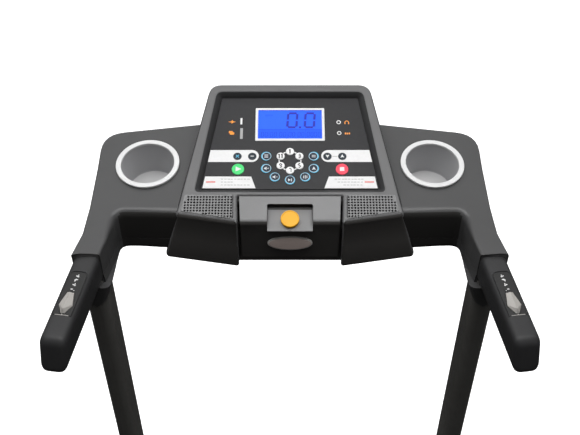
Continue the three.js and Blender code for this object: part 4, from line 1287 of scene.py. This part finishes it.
# Roller bearings, wheel hubs, the strut's gland, and the bolts of the stand.
rear_axis = facing(0, -1394, 114.2, OUT_AXIS)
seals = [lathe(ring_band(8.5, 21, x, x + 3), rear_axis, 40) for x in (203.2, -206.2)]
new_piece("rear_roller_seals", joined(seals), "black", "rear_roller")
seal = lathe(ring_band(8.5, 23, 203.2, 206.2), facing(0, -215, 112.2, OUT_AXIS), 40)
new_piece("front_roller_seal", seal, "black", "front_roller")
wheel_axis = facing(298, 210, 30, OUT_AXIS)
hubs = [lathe(ring_band(5.6, 18, low, low + 1.4), wheel_axis, 40) for low in (10.4, -11.8)]
add_pair("wheel_hub", joined(hubs), "zinc", "transport_wheel_{side}")
# Each bolt of the stand: its foot, the way it faces, its radius and its height.
STAND_BOLTS = (
    ((318, 210, 30), OUT_AXIS, 8, 4), ((276, 0, 93), OUT_AXIS, 12, 4),
    ((317, 18, 988), OUT_AXIS, 6, 2.6), ((317, 18, 1010), OUT_AXIS, 6, 2.6),
    ((300, -20, 53.5), UP_AXIS, 6.5, 4), ((300, 56, 53.5), UP_AXIS, 6.5, 4),
)
bolts = [bolt_head(facing(*foot, axis), *size) for foot, axis, *size in STAND_BOLTS]
add_pair("stand_bolts", joined(bolts), "zinc", "stand")
flange = slab(rounded_box(39, 94, 5, 4, 300, 18), 50.1, 54, 0.8, MACHINE)
add_pair("upright_flange", flange, "post", "stand")
shell_screws = [
    bolt_head(facing(x, y, 1053, DOWN_AXIS), 5, 3.2) for x, y in ((60, 240), (120, 130), (205, 250))
]
add_pair("shell_screws", joined(shell_screws), "zinc", "stand")

strut_axis = facing(0, -60, 28, (0, -420, 20))
cylinder = NODES["strut_cylinder"]
seen = [strut_axis.inverted() @ cylinder.matrix_world @ v.co for v in cylinder.data.vertices]
strut_mouth = max(point.z for point in seen) / MM
gland = [
    lathe(ring_band(6.5, 14.7, strut_mouth - 6, strut_mouth + 1.5), strut_axis, 36),
    lathe(ring_band(13.8, 15.2, 36, 46), strut_axis, 36),
]
new_piece("strut_gland", joined(gland), "black", "strut_cylinder")

# ---------- stage ----------
floor_mesh = bpy.data.meshes.new("floor")
floor_mesh.from_pydata(
    [(-12, -12, -0.0005), (12, -12, -0.0005), (12, 12, -0.0005), (-12, 12, -0.0005)], [], [(0, 1, 2, 3)]
)
floor_paint, floor_tree, floor_shader = node_material("floor_paint")
feed(floor_tree, floor_shader, {
    "Base Color": (0.94, 0.94, 0.94, 1), "Roughness": 0.9,
    "Emission Color": (1, 1, 1, 1), "Emission Strength": 0.75,
})
floor_mesh.materials.append(floor_paint)
floor = bpy.data.objects.new("floor", floor_mesh)
bpy.context.scene.collection.objects.link(floor)
floor.visible_diffuse = False
floor.visible_glossy = False


def studio_world(overhead, below, backdrop):
    """A white backdrop to look at, and a soft glow from above and behind the console."""
    world = bpy.data.worlds.new("studio")
    world.use_nodes = True
    tree = world.node_tree
    place = add_node(tree, "TexCoord", {}).outputs["Generated"]
    slant = add_node(tree, "VectorMath", {0: place, 1: (0, 0.4, 0.92)}, operation="DOT_PRODUCT")
    glow = add_node(tree, "MapRange", {
        "Value": slant.outputs["Value"], "From Min": 0.1, "From Max": 1.0,
        "To Min": below, "To Max": overhead,
    })
    path = add_node(tree, "LightPath", {})
    strength = add_node(tree, "Mix", {
        "Factor": path.outputs["Is Camera Ray"], "A": glow.outputs["Result"], "B": backdrop,
    })
    background = tree.nodes["Background"]
    feed(tree, background, {"Color": (1, 1, 1, 1), "Strength": strength.outputs["Result"]})
    bpy.context.scene.world = world


studio_world(0.7, 0.025, 1.0)
bpy.context.scene.view_settings.view_transform = "Standard"


def softbox(name, place, target, size, power, mirrored_in=True):
    """An area lamp; one that isn't mirrored in gloss only lights matt colour."""
    lamp = bpy.data.lights.new(name, "AREA")
    lamp.shape = "RECTANGLE"
    lamp.size, lamp.size_y = size
    lamp.energy = power
    holder = bpy.data.objects.new(name, lamp)
    holder.location = place
    aim = Vector(target) - Vector(place)
    holder.rotation_euler = aim.to_track_quat("-Z", "Y").to_euler()
    bpy.context.scene.collection.objects.link(holder)
    holder.visible_glossy = mirrored_in


softbox("key_light", (-1.1, 1.9, 2.9), (0, 0.72, 1.15), (1.8, 1.2), 24, False)
softbox("top_light", (0.7, 1.5, 3.1), (0, 0.72, 1.15), (1.6, 1.2), 16, False)
softbox("strip_light", (0, 0.34, 3.0), (0, 0.4, 1.15), (2.6, 0.8), 26)
softbox("fill_light", (1.8, -1.6, 2.4), (0, 0.5, 0.8), (1.6, 1.6), 3)

# The runner's eye, behind the handles and looking 40 degrees down at the console.
camera_data = bpy.data.cameras.new("camera")
camera_data.sensor_width = 36
camera_data.lens = 48.79
camera = bpy.data.objects.new("camera", camera_data)
camera.location = (0, FOLD_Y - 0.8591, 1.9058)
camera.rotation_euler = (math.radians(50), 0, 0)
bpy.context.scene.collection.objects.link(camera)
bpy.context.scene.camera = camera
